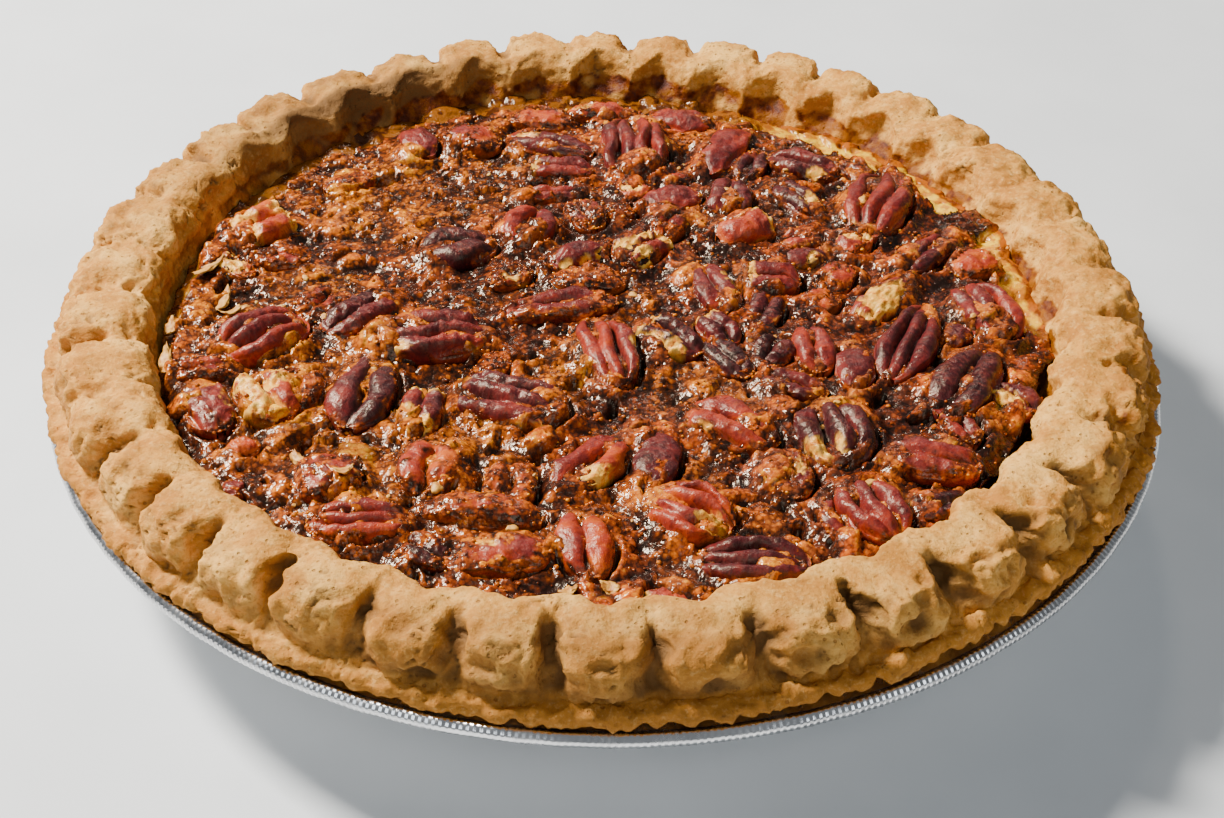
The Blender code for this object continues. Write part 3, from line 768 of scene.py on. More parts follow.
LOOKS = {  # by nut: ridges, tone (0 dark purple, 0.5 red-brown, 1 orange), paleness of the painted sheen, wrinkles and froth on it
    1: (1, 0.35, 0.8, 0.2, 0.15), 2: (1, 0.98, 0.3, 0.2, 0.75), 3: (1, 0.9, 0.5, 0.25, 0.6),
    4: (2, 0.3, 0.3, 0.25, 0.3), 5: (1, 0.85, 0.5, 0.3, 0.6), 6: (4, 0.52, 0.4, 0.16, 0.2),
    7: (1, 0.6, 0.9, 0.15, 0.25), 8: (1, 0.42, 0.4, 0.12, 0.12), 9: (2, 0.45, 0.4, 0.3, 0.2),
    10: (2, 0.34, 0.4, 0.3, 0.2), 11: (1, 0.38, 0.7, 0.3, 0.15), 12: (1, 0.7, 0.9, 0.2, 0.05),
    13: (2, 0.25, 0.7, 0.35, 0.2), 14: (2, 0.22, 0.6, 0.3, 0.25), 15: (3, 0.48, 0.5, 0.18, 0.2),
    16: (2, 0.22, 0.5, 0.25, 0.25), 17: (1, 1.0, 0.1, 0.3, 0.4), 18: (3, 0.52, 0.6, 0.14, -0.3),
    19: (1, 0.4, 0.3, 0.25, 0.1), 20: (3, 0.36, 0.3, 0.14, 0.02), 21: (2, 0.28, 0.5, 0.22, 0.15),
    22: (1, 0.45, 0.3, 0.12, 0.15), 23: (2, 0.62, 0.6, 0.12, 0.15), 24: (2, 0.52, 0.2, 0.2, 0.05),
    25: (1, 0.8, 0.4, 0.3, 0.7), 26: (2, 0.45, 0.5, 0.15, 0.15), 27: (2, 0.42, 0.4, 0.35, 0.2),
    28: (2, 0.2, 0.4, 0.45, 0.15), 29: (3, 0.55, 0.4, 0.14, 0.25), 30: (2, 0.42, 0.3, 0.35, 0.5),
    31: (1, 0.35, 0.3, 0.15, 0.1), 32: (2, 0.55, 0.4, 0.4, 0.2), 33: (2, 0.55, 0.3, 0.3, 0.25),
    34: (2, 0.2, 0.7, 0.18, 0.15), 35: (3, 0.48, 1.0, 0.9, 0.12), 36: (2, 0.22, 0.6, 0.8, 0.25),
    37: (2, 0.2, 0.4, 0.14, 0.15), 38: (3, 0.52, 0.4, 0.12, -0.1), 39: (2, 0.92, 0.9, 0.3, 0.25),
    40: (2, 0.7, 0.9, 0.25, 0.15), 41: (1, 0.55, 1.0, 0.4, 0.5), 42: (3, 0.34, 0.8, 0.7, 0.2),
    43: (2, 0.5, 0.4, 0.2, 0.3), 44: (2, 0.85, 0.3, 0.2, 0.65), 45: (1, 0.7, 0.6, 0.3, 0.8),
    46: (3, 0.62, 0.3, 0.1, 0.45), 47: (1, 0.8, 0.3, 0.3, 0.85), 48: (1, 0.66, 0.5, 0.4, 0.6),
    49: (2, 0.66, 0.3, 0.12, 0.25), 50: (2, 0.66, 0.4, 0.2, 0.15), 51: (1, 0.24, 0.4, 0.2, 0.05),
    52: (4, 0.68, 0.8, 0.35, 0.2), 53: (2, 0.66, 0.8, 0.3, 0.45), 54: (3, 0.3, 0.2, 0.14, 0.12),
    55: (3, 0.3, 0.4, 0.35, 0.15), 56: (2, 0.5, 0.5, 0.2, 0.5), 57: (3, 0.55, 0.4, 0.14, 0.2),
}
SUNK_BITS = (  # x, y, length, width and heading, then a look as above, then height above the filling
    (35, 61, 16, 8, 70, 2, 0.25, 0.3, 0.2, 0.45, 2.6), (-13, 43.5, 16, 6, 3, 2, 0.5, 0.4, 0.4, 0.5, 2.6),
    (6, 45.5, 10, 8, 80, 1, 0.9, 0.9, 0.2, 0.5, 3.0), (57.5, 27, 11, 8, 60, 1, 0.7, 0.8, 0.3, 0.3, 3.0),
    (45, 20, 14, 6, 22, 1, 0.4, 0.6, 0.2, 0.3, 2.4), (45, 27, 10, 7, 0, 2, 0.9, 0.4, 0.2, 0.55, 2.6),
    (47, 2, 12, 9, 40, 2, 0.85, 0.3, 0.2, 0.65, 2.8), (14.5, 31, 11, 8, 70, 2, 0.8, 0.3, 0.3, 0.7, 2.8),
    (-5, 35, 13, 9, 110, 2, 0.6, 0.7, 0.4, 0.8, 2.8), (3, 36, 7, 6, 20, 1, 0.6, 0.4, 0.2, 0.9, 2.4),
    (-4, 8, 17, 9, 0, 1, 0.85, 0.2, 0.2, 1.0, 2.6), (-22, 9, 12, 7, 30, 1, 0.7, 0.7, 0.3, 0.7, 2.4),
    (-85, 13, 15, 6, 145, 1, 0.7, 0.9, 0.3, 0.4, 2.6), (-74, 15, 14, 7, 5, 2, 0.6, 0.3, 0.2, 0.75, 2.8),
    (66, -66, 15, 8, 15, 2, 0.1, 0.3, 0.3, 0.3, 3.0), (39, -29, 16, 8, 155, 2, 0.4, 0.4, 0.3, 0.55, 3.0),
    (36, -17, 10, 9, 60, 2, 0.2, 0.4, 0.5, 0.3, 3.2), (26, -20, 15, 8, 125, 2, 0.06, 0.4, 0.4, 0.3, 3.0),
    (86, -31, 13, 9, 135, 2, 0.45, 0.8, 0.4, 0.4, 3.0), (76, -9, 10, 6, 45, 1, 0.25, 0.4, 0.2, 0.5, 2.6),
    (-62, -3, 14, 11, 60, 2, 0.7, 0.2, 0.2, 0.9, 2.8), (-84, -27, 13, 8, 10, 2, 0.5, 0.6, 0.3, 0.7, 2.8),
    (-63, -33, 14, 10, 80, 2, 0.85, 0.4, 0.3, 1.0, 3.2), (37, -58, 14, 9, 100, 2, 0.4, 0.3, 0.3, 0.7, 3.0),
    (46, -70, 16, 8, 100, 2, 0.45, 0.4, 0.3, 0.5, 3.0), (13, -92.5, 14, 6, 0, 1, 0.85, 0.6, 0.3, 0.5, 2.2),
    (-18, -62, 15, 11, 85, 2, 0.85, 0.3, 0.2, 1.0, 2.6), (-72, -52, 7, 5, 30, 1, 0.9, 0.8, 0.3, 0.4, 2.2),
    (-72, -65, 6, 5, 80, 1, 0.6, 0.7, 0.3, 0.6, 2.0), (-12, -48, 8, 6, 20, 1, 0.8, 0.9, 0.3, 0.3, 2.6),
    (17, 52, 7, 5, 50, 1, 0.8, 0.9, 0.3, 0.5, 2.2), (35, -2, 16, 8, 75, 2, 0.1, 0.6, 0.5, 0.4, 2.8),
    (-33, -82, 12, 8, 150, 2, 0.1, 0.4, 0.3, 0.6, 2.4), (73, -41, 11, 7, 120, 2, 0.45, 0.4, 0.3, 0.7, 2.4),
    (-24, -24, 13, 7, 60, 1, 0.5, 0.3, 0.2, 1.0, 2.2), (60, 58, 13, 7, 130, 2, 0.3, 0.4, 0.3, 0.8, 2.2),
    (-62, 50, 14, 8, 40, 1, 0.7, 0.2, 0.2, 1.0, 2.2), (30, -95, 10, 5, 10, 1, 0.6, 0.5, 0.3, 0.6, 1.8),
)
FLESH_SPOTS = (  # where nuts show their cream meat: x, y and radius
    (-20, 71, 3.0), (-6, 83, 2.6), (7, 53, 4.2), (6.5, 47, 4.2), (4, 84, 2.0), (36, 34, 3.4), (50, 54, 2.4),
    (48.5, 42, 3.0), (58, 28.5, 4.6), (61, 1, 6.0), (58, -6, 4.2), (65, 5, 3.8), (30, 8, 4.4), (5.5, 17.5, 4.0),
    (10, 14, 3.6), (8, 24, 3.4), (14, 21, 2.4), (9, -17, 4.4), (14, -20, 3.4), (-4.5, 13, 2.3), (-0.5, 15.5, 2.4),
    (-9, 11.5, 1.8), (-16, 37, 3.2), (-84, 26, 4.4), (-76, 33, 3.0), (-80.5, 20, 4.2), (-83.5, 12, 5.0),
    (-72, -36, 6.2), (-69.5, -42, 5.6), (-65, -33, 3.0), (-50, -67, 4.2), (-45.5, -23, 4.8), (-41.5, -43, 3.6),
    (-36, -46, 2.6), (-40, -50, 2.6), (-11, -48, 4.6), (-1.5, -62, 4.2), (19, -47.5, 3.0), (45.5, -54.5, 4.8),
    (41.5, -52.5, 3.2), (21, -75, 3.4), (-13, -77, 2.2), (39, -57, 2.8), (-12, 59, 2.0), (37, 24, 2.5),
    (84, -33, 3.8), (48.5, 8.5, 2.4), (47.5, 17.5, 3.0), (44, 14.5, 2.4), (-22, -80, 3.2), (-21, 9, 3.6),
    (7, -91, 2.6), (19, -92, 2.4),
)


def filling_level(x, y):
    """Height of the even surface that the pecans sit on."""
    round_off = (x**2 + y**2) / DOME_RADIUS**2
    return (FILLING_LEVEL + FILLING_DOME * (1 - round_off) + 0.45 * np.sin(x / 17 + y / 29 + 0.6)
            + 0.35 * np.sin(y / 13 - x / 41))


def nut_places():
    """Centre, heading, size and base of each pecan node, long way first and blunt end ahead."""
    places = {}
    for number, look in LOOKS.items():
        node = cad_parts[NUT_NODE.format(number)]
        spots = np.array([tuple(node.matrix_world @ vertex.co) for vertex in node.data.vertices]) / MM
        flat = spots[:, :2] - spots[:, :2].mean(axis=0)
        ahead = np.linalg.eigh(flat.T @ flat)[1][:, 1]
        reach = spots[:, :2] @ ahead
        if reach.mean() < (reach.min() + reach.max()) / 2:
            ahead, reach = -ahead, -reach
        across = np.array([-ahead[1], ahead[0]])
        spread = spots[:, :2] @ across
        x, y = ahead * (reach.min() + reach.max()) / 2 + across * (spread.min() + spread.max()) / 2
        places[number] = SimpleNamespace(
            number=number, look=look, x=x, y=y, heading=math.atan2(ahead[1], ahead[0]), length=np.ptp(reach),
            width=np.ptp(spread), height=np.ptp(spots[:, 2]), base=spots[:, 2].min())
    return places


def bit_places():
    """The same for each bit of nut that the filling has swallowed."""
    places = {}
    for number, (x, y, length, width, heading, *look, rise) in enumerate(SUNK_BITS, start=BIT):
        places[number] = SimpleNamespace(
            number=number, look=look, x=x, y=y, heading=math.radians(heading), length=length,
            width=width, height=rise, base=float(filling_level(x, y)) + 0.2)
    return places


def nut_relief(along, side, ridges, seed):
    """Height of a nut's top as a share of its own, how deep between its ridges it lies as the amount of painted shade
    there, its ridge's own tone and its hull.
    """
    draw = draws(np.arange(24), 3, seed)
    floor = 0.04 * rounded(side)
    top, own = floor.copy(), np.zeros(len(along))
    for i, (centre, half) in enumerate(RIDGES[ridges]):
        a, b, c, d = draw[4 * i : 4 * i + 4]
        sway = 0.08 * np.sin(2.4 * along + TURN * a) + 0.05 * np.sin(5.6 * along + TURN * b)
        thick = half * (1 + 0.14 * np.sin(4.1 * along + TURN * d))
        round_top = rounded((side - centre - sway) / thick) ** 0.85
        fade = rounded((along - 0.16 * (c - 0.5)) / (0.84 + 0.16 * d), 4)
        tall = (1 - 0.26 * centre**2) * (0.86 + 0.14 * b)
        ridge = floor + (tall - floor) * round_top * fade
        own = np.where(ridge > top, draw[20 + i] - 0.5, own)
        top = np.maximum(top, ridge)
    groove = smooth(0.46, 0.16, top - floor) * smooth(0.95, 0.7, np.abs(side)) * smooth(0.95, 0.75, np.abs(along))
    dome = rounded(along, 3) * (0.8 + 0.2 * (1 - along**2))
    return top * dome, groove * (ridges > 1), own, rounded(side, 4) * dome


def nut_points(place):
    """Points, faces and marks of one nut that lies along X with its flat side down at height 0."""
    ridges, _, _, wrinkle, _ = place.look
    seed = place.number
    over = 0.55 * np.cos(np.linspace(0, math.pi, NUT_TOP_STEPS)) + 0.45 * np.linspace(1, -1, NUT_TOP_STEPS)
    over = np.concatenate([over, np.linspace(-1, 1, NUT_BOTTOM_STEPS + 2)[1:-1]])
    sides = len(over)
    ahead = 0.985 * np.sin(np.linspace(-math.pi / 2, math.pi / 2, NUT_RINGS))
    along, side = np.repeat(ahead, sides), np.tile(over, NUT_RINGS)
    top = np.tile(np.arange(sides) < NUT_TOP_STEPS, NUT_RINGS)
    draw = draws(np.arange(6), 5, seed)
    outline = np.where(along > 0, along * 0.55, along) if seed in BROKEN else along
    slim = rounded(outline, 2.5) * (1 - 0.14 * (draw[0] - 0.5) * along + 0.05 * np.sin(3.1 * along + TURN * draw[1]))
    relief, groove, own, hull = nut_relief(outline, side, ridges, seed)
    flat = stack(along * place.length / 2, side * slim * place.width / 2)
    local = flat + (seed * 37.0, 0, 0)
    cross = noise(local * (1 / 0.8, 1 / 2.6, 1), 1, seed) + 0.6 * noise(local * (1 / 0.5, 1 / 1.2, 1), 1, seed + 1)
    lumps = noise(local, 4.5, seed + 2)
    folds = fractal(local * (1.0, 0.8, 1), 2.6, 2, seed + 3, 0.6)
    rise = (EDGE_RISE + (1 - EDGE_RISE) * relief) * place.height + 0.4 * lumps * relief
    rise += ((0.06 + wrinkle * 0.75) * cross + 0.34 * folds) * smooth(0.1, 0.5, relief)
    x, y, z = flat[:, 0] * (1 + 0.04 * lumps), flat[:, 1] * (1 + 0.11 * lumps), np.where(top, rise, -NUT_SUNK)
    z = np.where(top & (np.abs(side) > 0.999), -NUT_SUNK * 0.5, z)
    meat = np.zeros(len(z))
    if seed in BROKEN:
        jag = 0.9 * noise(stack(y, z), 1.7, seed + 4) + 0.4 * noise(local, 0.9, seed + 5)
        x = x + jag * smooth(0.55, 1, along)
        meat = smooth(0.74, 0.92, along + 0.12 * noise(local, 1.5, seed + 6))
    if seed in CURVED:
        y = y + 0.8 * (along**2 - 0.3)
    caps = np.array([np.arange(sides), np.arange(sides)[::-1] + (NUT_RINGS - 1) * sides])
    marks = SimpleNamespace(groove=groove * top, flesh=meat, relief=relief * top, lengthwise=flat[:, 0],
                            crosswise=flat[:, 1], own=own, side=side, hull=hull)
    return stack(x, y, z), [grid_faces(NUT_RINGS, sides), caps], marks


def nut_mesh(place):
    """Points in the pie's frame, faces and masks of one pecan, with froth baked up its sides."""
    number = place.number
    _, tone, pale, _, froth_share = place.look
    points, faces, marks = nut_points(place)
    local = points + (number * 31.0, number * 17.0, 0)
    share = points[:, 2] / place.height
    line = 0.34 + 0.8 * froth_share + 0.3 * fractal(local, 4, 4, 91, 0.65)
    coated = smooth(line + 0.13, line - 0.1, np.maximum(share, 0.25 + 0.75 * marks.hull))
    coated = np.maximum(coated, froth_share * smooth(0.35, 0.6, noise(local, 3.4, 92)) * 0.9)
    coated *= 1 - 0.9 * marks.groove * (froth_share < 0.6)
    bubble = cobbles(local, 1.25, 93)[0]
    away = points * (4 / place.length ** 2, 4 / place.width ** 2, 1 / place.height ** 2)
    away /= np.linalg.norm(away, axis=1, keepdims=True) + 1e-9
    shown = points[:, 2] > 0
    points = points + away * (coated * shown * (0.28 - 0.42 * bubble**2))[:, None]
    y, z = turned(points[:, 1], points[:, 2], LEANS.get(number, 0.0))
    x, y = turned(points[:, 0], y, place.heading)
    world = stack(place.x + x, place.y + y, np.minimum(place.base + z, TOP - 0.1))
    flesh = marks.flesh
    chips = fractal(world, 2.4, 3, 94, 0.6)
    for x, y, radius in FLESH_SPOTS:
        away = np.hypot(world[:, 0] - x, world[:, 1] - y) / radius
        flesh = np.maximum(flesh, smooth(0.35, 0.6, 1.25 - away + 0.45 * chips))
    world[:, 2] -= flesh * shown * (0.55 + 0.8 * fractal(world, 1.7, 2, 97))
    warm = 0.3 * smooth(0.75, 0.15, share + 0.2 * noise(local, 2.5, 96)) * (0.35 + tone)
    tone = 0.9 * tone + 0.2 * fractal(local, 6, 2, 95) + 0.22 * marks.own
    tone = tone + SLANTS.get(number, 0.0) * marks.side
    # the mask of the grooves is painted shade, and raised lightens the froth bubbles' tops, partly as painted light
    return world, faces, {
        "tone": unit(tone + warm), "pale": np.full(len(world), pale), "groove": marks.groove * (1 - 0.6 * flesh),
        "flesh": flesh * (1 - 0.55 * coated), "froth": coated * shown, "raised": unit(0.8 - bubble * 0.85),
        "relief": smooth(0.35, 0.9, marks.relief), "lengthwise": marks.lengthwise, "crosswise": marks.crosswise,
    }


def make_pecans(nuts, bits, material):
    """Each pecan as a piece of its own, and the bits sunk in the filling as one."""
    for number, (points, faces, masks) in nuts.items():
        node = NUT_NODE.format(number)
        make_piece(node.replace("pecan", "nut"), points, faces, material, [node], masks)
    points, faces, masks = join(bits.values())
    make_piece("sunk_nut_bits", points, faces, material, (), masks)


# ======== filling
SHRINKS = ((-27, 22, 2.0), (176, 24, 0.5))  # azimuth, half angle and gap where the filling has drawn back
BANDS = ((28, 38, 8.8), (82, 40, 8.4), (134, 36, 7.2), (172, 30, 3.4))  # custard by the pastry: as above, width
HOLES = (  # openings and crevices, painted black as shade: x, y, half length, half width, heading and depth
    (-54, 51, 4.0, 1.5, 20, 3.4), (-85, 4, 3.4, 1.3, 80, 3.0), (-16, 49, 2.4, 1.3, 0, 3.4),
    (-6, -28, 2.6, 1.6, 60, 3.0), (-12, -54, 2.4, 1.5, 30, 3.4), (-4, -52, 3.0, 1.3, 100, 3.2),
    (33, 27.5, 5.6, 2.6, 20, 4.0), (-17, -20, 3.0, 1.2, 20, 2.6), (-17, 0, 2.4, 1.0, 60, 2.6),
    (2, -37, 2.2, 1.2, 70, 2.6), (22, 22, 2.6, 1.2, 120, 2.6), (57, -33, 3.0, 1.2, 70, 2.6),
    (-28, 47, 2.6, 1.1, 10, 2.4), (-60, 18, 2.6, 1.1, 50, 2.4), (66, -38, 3.0, 1.1, 20, 2.6),
    (38, -73, 2.2, 1.2, 80, 2.6), (-60, -50, 2.4, 1.2, 60, 2.6), (8, -44, 2.0, 1.1, 40, 2.4),
)
AMBER = (  # places where the froth is a lighter amber: x, y, radius and strength
    (-58, 46, 15, 0.42), (-8, -23, 7, 0.35), (22, -31, 9, 0.38), (-85, -3, 7, 0.4), (-45, 35, 10, 0.2),
    (-30, 54, 11, 0.25), (-62, -35, 20, 0.26), (-44, -58, 15, 0.24), (-18, -72, 12, 0.14), (28, -78, 13, 0.18),
    (46, -33, 8, 0.2), (-28, -48, 8, 0.2), (5, -66, 7, 0.2), (-60, 3, 8, 0.15),
)
POOLS = (  # smooth pools of syrup: x, y and radius
    (17, 62, 8), (-6, 45, 6), (-30, -84, 8), (44, 8, 8), (66, 26, 7), (75, -45, 8), (22, 15, 6), (-2, 30, 6),
)


def filling_edge(azimuth):
    """Radius at which the filling stops: at the pastry, or short of it where it has drawn back."""
    even = azimuth - FLUTE_START
    for _ in range(6):  # each round comes closer to the spacing that flute_azimuth turns into this azimuth
        even = azimuth - (flute_azimuth(even) - even)
    flute = even / TURN * FLUTES
    edge = FILLING_RADIUS + FILLING_WAVE * np.cos(TURN * flute) + 1.4 * inner_dents(flute, 9.0)
    ring = around(97, azimuth)
    for middle, half, gap in SHRINKS:
        share = wedge(azimuth, middle, half)
        share = smooth(0, 0.6, share + 0.35 * noise(ring, 9, 121) * (share > 0))
        edge = edge - share * (gap + 1.2 + (edge - FILLING_RADIUS))
    return edge + 0.5 * noise(ring, 3, 122)


def froth_by_nuts(x, y, places):
    """How high froth climbs beside the nuts, and the crevices there with the strength of their painted shade."""
    climbing, crevices, painted_shade = np.zeros((3, len(x)))
    for place in places:
        along, across = turned(x - place.x, y - place.y, -place.heading)
        near = np.flatnonzero(np.hypot(along, across) < place.length / 2 + 6)
        along, across = along[near], across[near]
        share = np.hypot(2 * along / place.length, 2 * across / place.width) + 1e-6
        gap = (share - 1) * np.hypot(along, across) / share
        turn = np.arctan2(across, along)
        draw = draws(np.arange(8), 9, place.number)
        skirt = 0.52 + 0.18 * np.sin(turn + TURN * draw[0]) + 0.12 * np.sin(2 * turn + TURN * draw[1])
        climbing[near] = np.maximum(climbing[near], place.height * skirt * smooth(4.8, -0.8, gap))
        for facing in (TURN * draw[2], -place.heading - 1.5 * draw[4], -place.heading - 0.2 - 1.2 * draw[5]):
            crevice = bell(gap, 0.65, 0.45) * bell(apart(turn, facing), 0.3 + 0.65 * draw[3])
            crevices[near] += crevice
            # painted shade in each crevice beside the nut
            painted_shade[near] = np.maximum(painted_shade[near], smooth(0.15, 0.6, crevice))
    return climbing, crevices, painted_shade


def bubbles_of_froth(flat):
    """Relief of the froth's own bubbles, the small ones riding on the large."""
    froth = np.zeros(len(flat))
    for size, seed, height, reach, shift in ((2.5, 141, 0.32, 0.62, 0.0), (1.5, 142, 0.2, 0.6, 0.4)):
        bubble, _, number = cobbles(flat + shift * froth[:, None], size, seed, 2)
        froth += height * unit(1 - (bubble / reach) ** 2) * (0.2 + 1.2 * number)
    return froth + 0.24 * fractal(flat, 4.2, 2, 143)


def custard_band(azimuth, radius, edge):
    """How much of the smooth custard band each point is, its inner lip and how syrupy its shore is."""
    ring = around(95, azimuth)
    width = np.max([size * smooth(0, 0.3, wedge(azimuth, middle, half)) for middle, half, size in BANDS], axis=0)
    width *= 1 + 0.28 * noise(ring, 13, 151) + 0.22 * noise(ring, 4, 152)
    width *= 1 - smooth(0.2, 0.6, sector(azimuth, 24, 3.0))  # froth bridges the custard here
    inner = edge - width
    custard = smooth(inner - 0.35, inner + 0.35, radius) * (width > 0.6)
    lip = bell(radius, 1.0, inner - 0.9) * (width > 0.6)
    syrupy = smooth(math.radians(58), math.radians(72), azimuth) + smooth(math.radians(2), math.radians(-6), azimuth)
    syrupy = unit(syrupy + smooth(-3, -3.1, azimuth)) * (1 - 0.5 * smooth(0.85, 0.95, -np.cos(azimuth)))
    shore = edge - radius + 1.3 * noise(ring, 5, 154) + 0.6 * noise(ring, 2, 155)
    return custard, lip, np.maximum(syrupy, smooth(3.2, 2.4, shore))


def openings(x, y, flat):
    """How deep the openings are, which are painted black as shade, and how much of one each point is."""
    ragged = 0.35 * noise(flat, 2, 135)
    deep, inside = np.zeros((2, len(x)))
    for hole_x, hole_y, long, wide, heading, depth in HOLES:
        along, across = turned(x - hole_x, y - hole_y, -math.radians(heading))
        share = smooth(1.35, 0.75, np.hypot(along / long, across / wide) + ragged)
        deep += depth * share
        inside = np.maximum(inside, share)
    return deep, inside


def spots_and_pools(x, y, flat):
    """How amber each point is by its place, and how much of a smooth pool it is."""
    spots = sum(strength * bell(np.hypot(x - spot_x, y - spot_y), reach) for spot_x, spot_y, reach, strength in AMBER)
    pool = sum(bell(np.hypot(x - pool_x, y - pool_y), reach * 0.6) for pool_x, pool_y, reach in POOLS)
    return spots, smooth(0.25, 0.8, pool + 0.25 * noise(flat, 5, 136))


def filling_surface(x, y, places):
    """Height and masks of the filling's frothy top at each point."""
    flat = stack(x, y)
    radius, azimuth = np.hypot(x, y), np.arctan2(y, x)
    swells = fractal(flat, 14, 2, 131, 0.4)
    first, second, number = cobbles(flat + 1.5 * swells[:, None], 8.5, 133, 2)
    lump = unit(1 - (first / 0.72) ** 2) * (0.3 + 1.5 * number)
    climbing, crevices, painted_shade = froth_by_nuts(x, y, places)
    # painted shade along the seams between lumps
    painted_shade = np.maximum(painted_shade, smooth(0.2, 0.03, second - first) * smooth(0.35, 0.8, number) * 0.85)
    height = filling_level(x, y) - 0.5 + 0.8 * swells + 1.2 * lump + climbing - 2.8 * crevices
    # raised lightens the colour of swells, lumps and froth bubbles, partly as painted light on their tops
    raised = 0.3 * swells + 0.32 * lump + 0.07 * climbing + 0.07 * smooth(-25, -75, y)
    deep, inside = openings(x, y, flat)
    height -= deep
    # painted shade in the openings
    painted_shade = np.maximum(painted_shade, inside)
    spots, pool = spots_and_pools(x, y, flat)

    froth = bubbles_of_froth(flat)
    pit, _, number = cobbles(flat, 4.6, 144, 2)
    pit = smooth(0.2, 0.1, pit) * (number > 0.62)
    height += froth * (1 - 0.45 * pool) - 1.2 * pit
    raised += 0.45 * spots - 0.55 * pool + 0.82 * (froth - 0.22)
    amber = 0.5 * smooth(0, 0.6, fractal(flat, 16, 2, 145)) + 0.22 * smooth(30, -60, x) + 2.2 * spots
    # painted shade in the pits
    painted_shade = np.maximum(painted_shade * (1 - 0.9 * unit(spots)), 0.85 * pit)

    edge = filling_edge(azimuth)
    custard, lip, syrupy = custard_band(azimuth, radius, edge)
    far = smooth(0.5, 0.9, np.sin(azimuth))
    short_of_edge = edge - radius
    drawn_back = sum(sector(azimuth, middle, half * 0.7) for middle, half, _ in SHRINKS)
    height -= custard * (1.9 - 1.0 * far + 0.4 * noise(flat, 6, 153) + 0.8 * froth + climbing)
    height += 0.4 * lip * (1 - far) - 1.3 * far * smooth(82, 92, radius)
    height -= smooth(4, 0, short_of_edge) * (0.9 * (1 - custard) + 0.8 * drawn_back)
    raised += 0.2 * lip * (1 - far)
    # painted shade in the gap where the filling has drawn back
    painted_shade = np.maximum(painted_shade * (1 - 0.8 * custard), 0.75 * smooth(1.6, 0.2, short_of_edge) * drawn_back)
    return height, {"custard": custard, "raised": unit(raised), "painted_shade": unit(painted_shade), "syrupy": syrupy,
                    "amber": unit(amber)}


def make_filling(places, material):
    """Frothy top on a grid pressed from a square into a disc, with a plain side and bottom under it."""
    count, last = FILLING_GRID, FILLING_GRID - 1
    line = np.linspace(-1, 1, count)
    u, v = (values.ravel() for values in np.meshgrid(line, line))
    disc_x, disc_y = u * np.sqrt(1 - v**2 / 2), v * np.sqrt(1 - u**2 / 2)
    azimuth = np.arctan2(disc_y, disc_x)
    radius = np.hypot(disc_x, disc_y) * filling_edge(azimuth)
    x, y = radius * np.cos(azimuth), radius * np.sin(azimuth)
    height, masks = filling_surface(x, y, places)
    number = np.arange(count * count).reshape(count, count)
    above = np.concatenate([number[0, :last], number[:last, last], number[last, :0:-1], number[:0:-1, 0]])
    sides = len(above)
    after = np.roll(np.arange(sides), -1)
    outline = azimuth[above], radius[above], height[above]
    points, faces = [stack(x, y, height)], [grid_faces(count, count, wrap=False)]
    floor_radius, floor_height = FILLING_FLOOR
    for i, share in enumerate(WALL_SHARES):
        turn, ring_radius, ring_height = outline
        ring_radius = (ring_radius - 0.5) * (1 - share) + floor_radius * share
        points.append(around(ring_radius, turn, ring_height * (1 - share) + floor_height * share))
        below = np.arange(sides) + count * count + i * sides
        faces.append(np.stack([above, above[after], below[after], below], axis=1)[:, ::-1])
        above = below
    points = np.concatenate([*points, [[0.0, 0.0, floor_height]]])
    faces.append(stack(above, above[after], len(points) - 1)[:, ::-1])
    masks = {mask: np.concatenate([values, np.full(len(points) - len(values), HIDDEN_MASKS[mask])])
             for mask, values in masks.items()}
    make_piece("filling_froth", points, faces, material, ["filling"], masks)


# ======== crumbs and beads
CRUMBS = 70  # of three sizes in turn
FLAKES = (  # thin curled flakes of nut, most of them at the left edge: x, y, half length, half width and heading
    (-89, 10, 4.4, 1.5, 60), (-84, -2, 3.6, 1.2, 85), (-94, -11, 2.6, 1.3, 95), (-92.5, -24, 4.6, 1.4, 100),
    (-80, -12, 2.2, 1.2, 40), (-81, 27, 2.4, 1.4, 10), (-60, -57, 2.0, 1.0, 130), (-50, -64, 1.8, 1.2, 20),
    (-17, -76, 2.0, 0.9, 5), (-15, -61, 2.0, 1.0, 30), (-27, -70.5, 1.3, 0.9, 10), (-78, -66, 2.6, 1.2, 140),
    (-6, -91, 1.8, 1.2, 30), (2, -90.5, 1.6, 1.1, 160),
)
BEADS = 8000  # places tried on the froth; those on custard or in the painted shade of openings and crevices stay bare
BEADS_ON_NUTS = 0.03  # share of the frothy points of the nuts that carry a bead


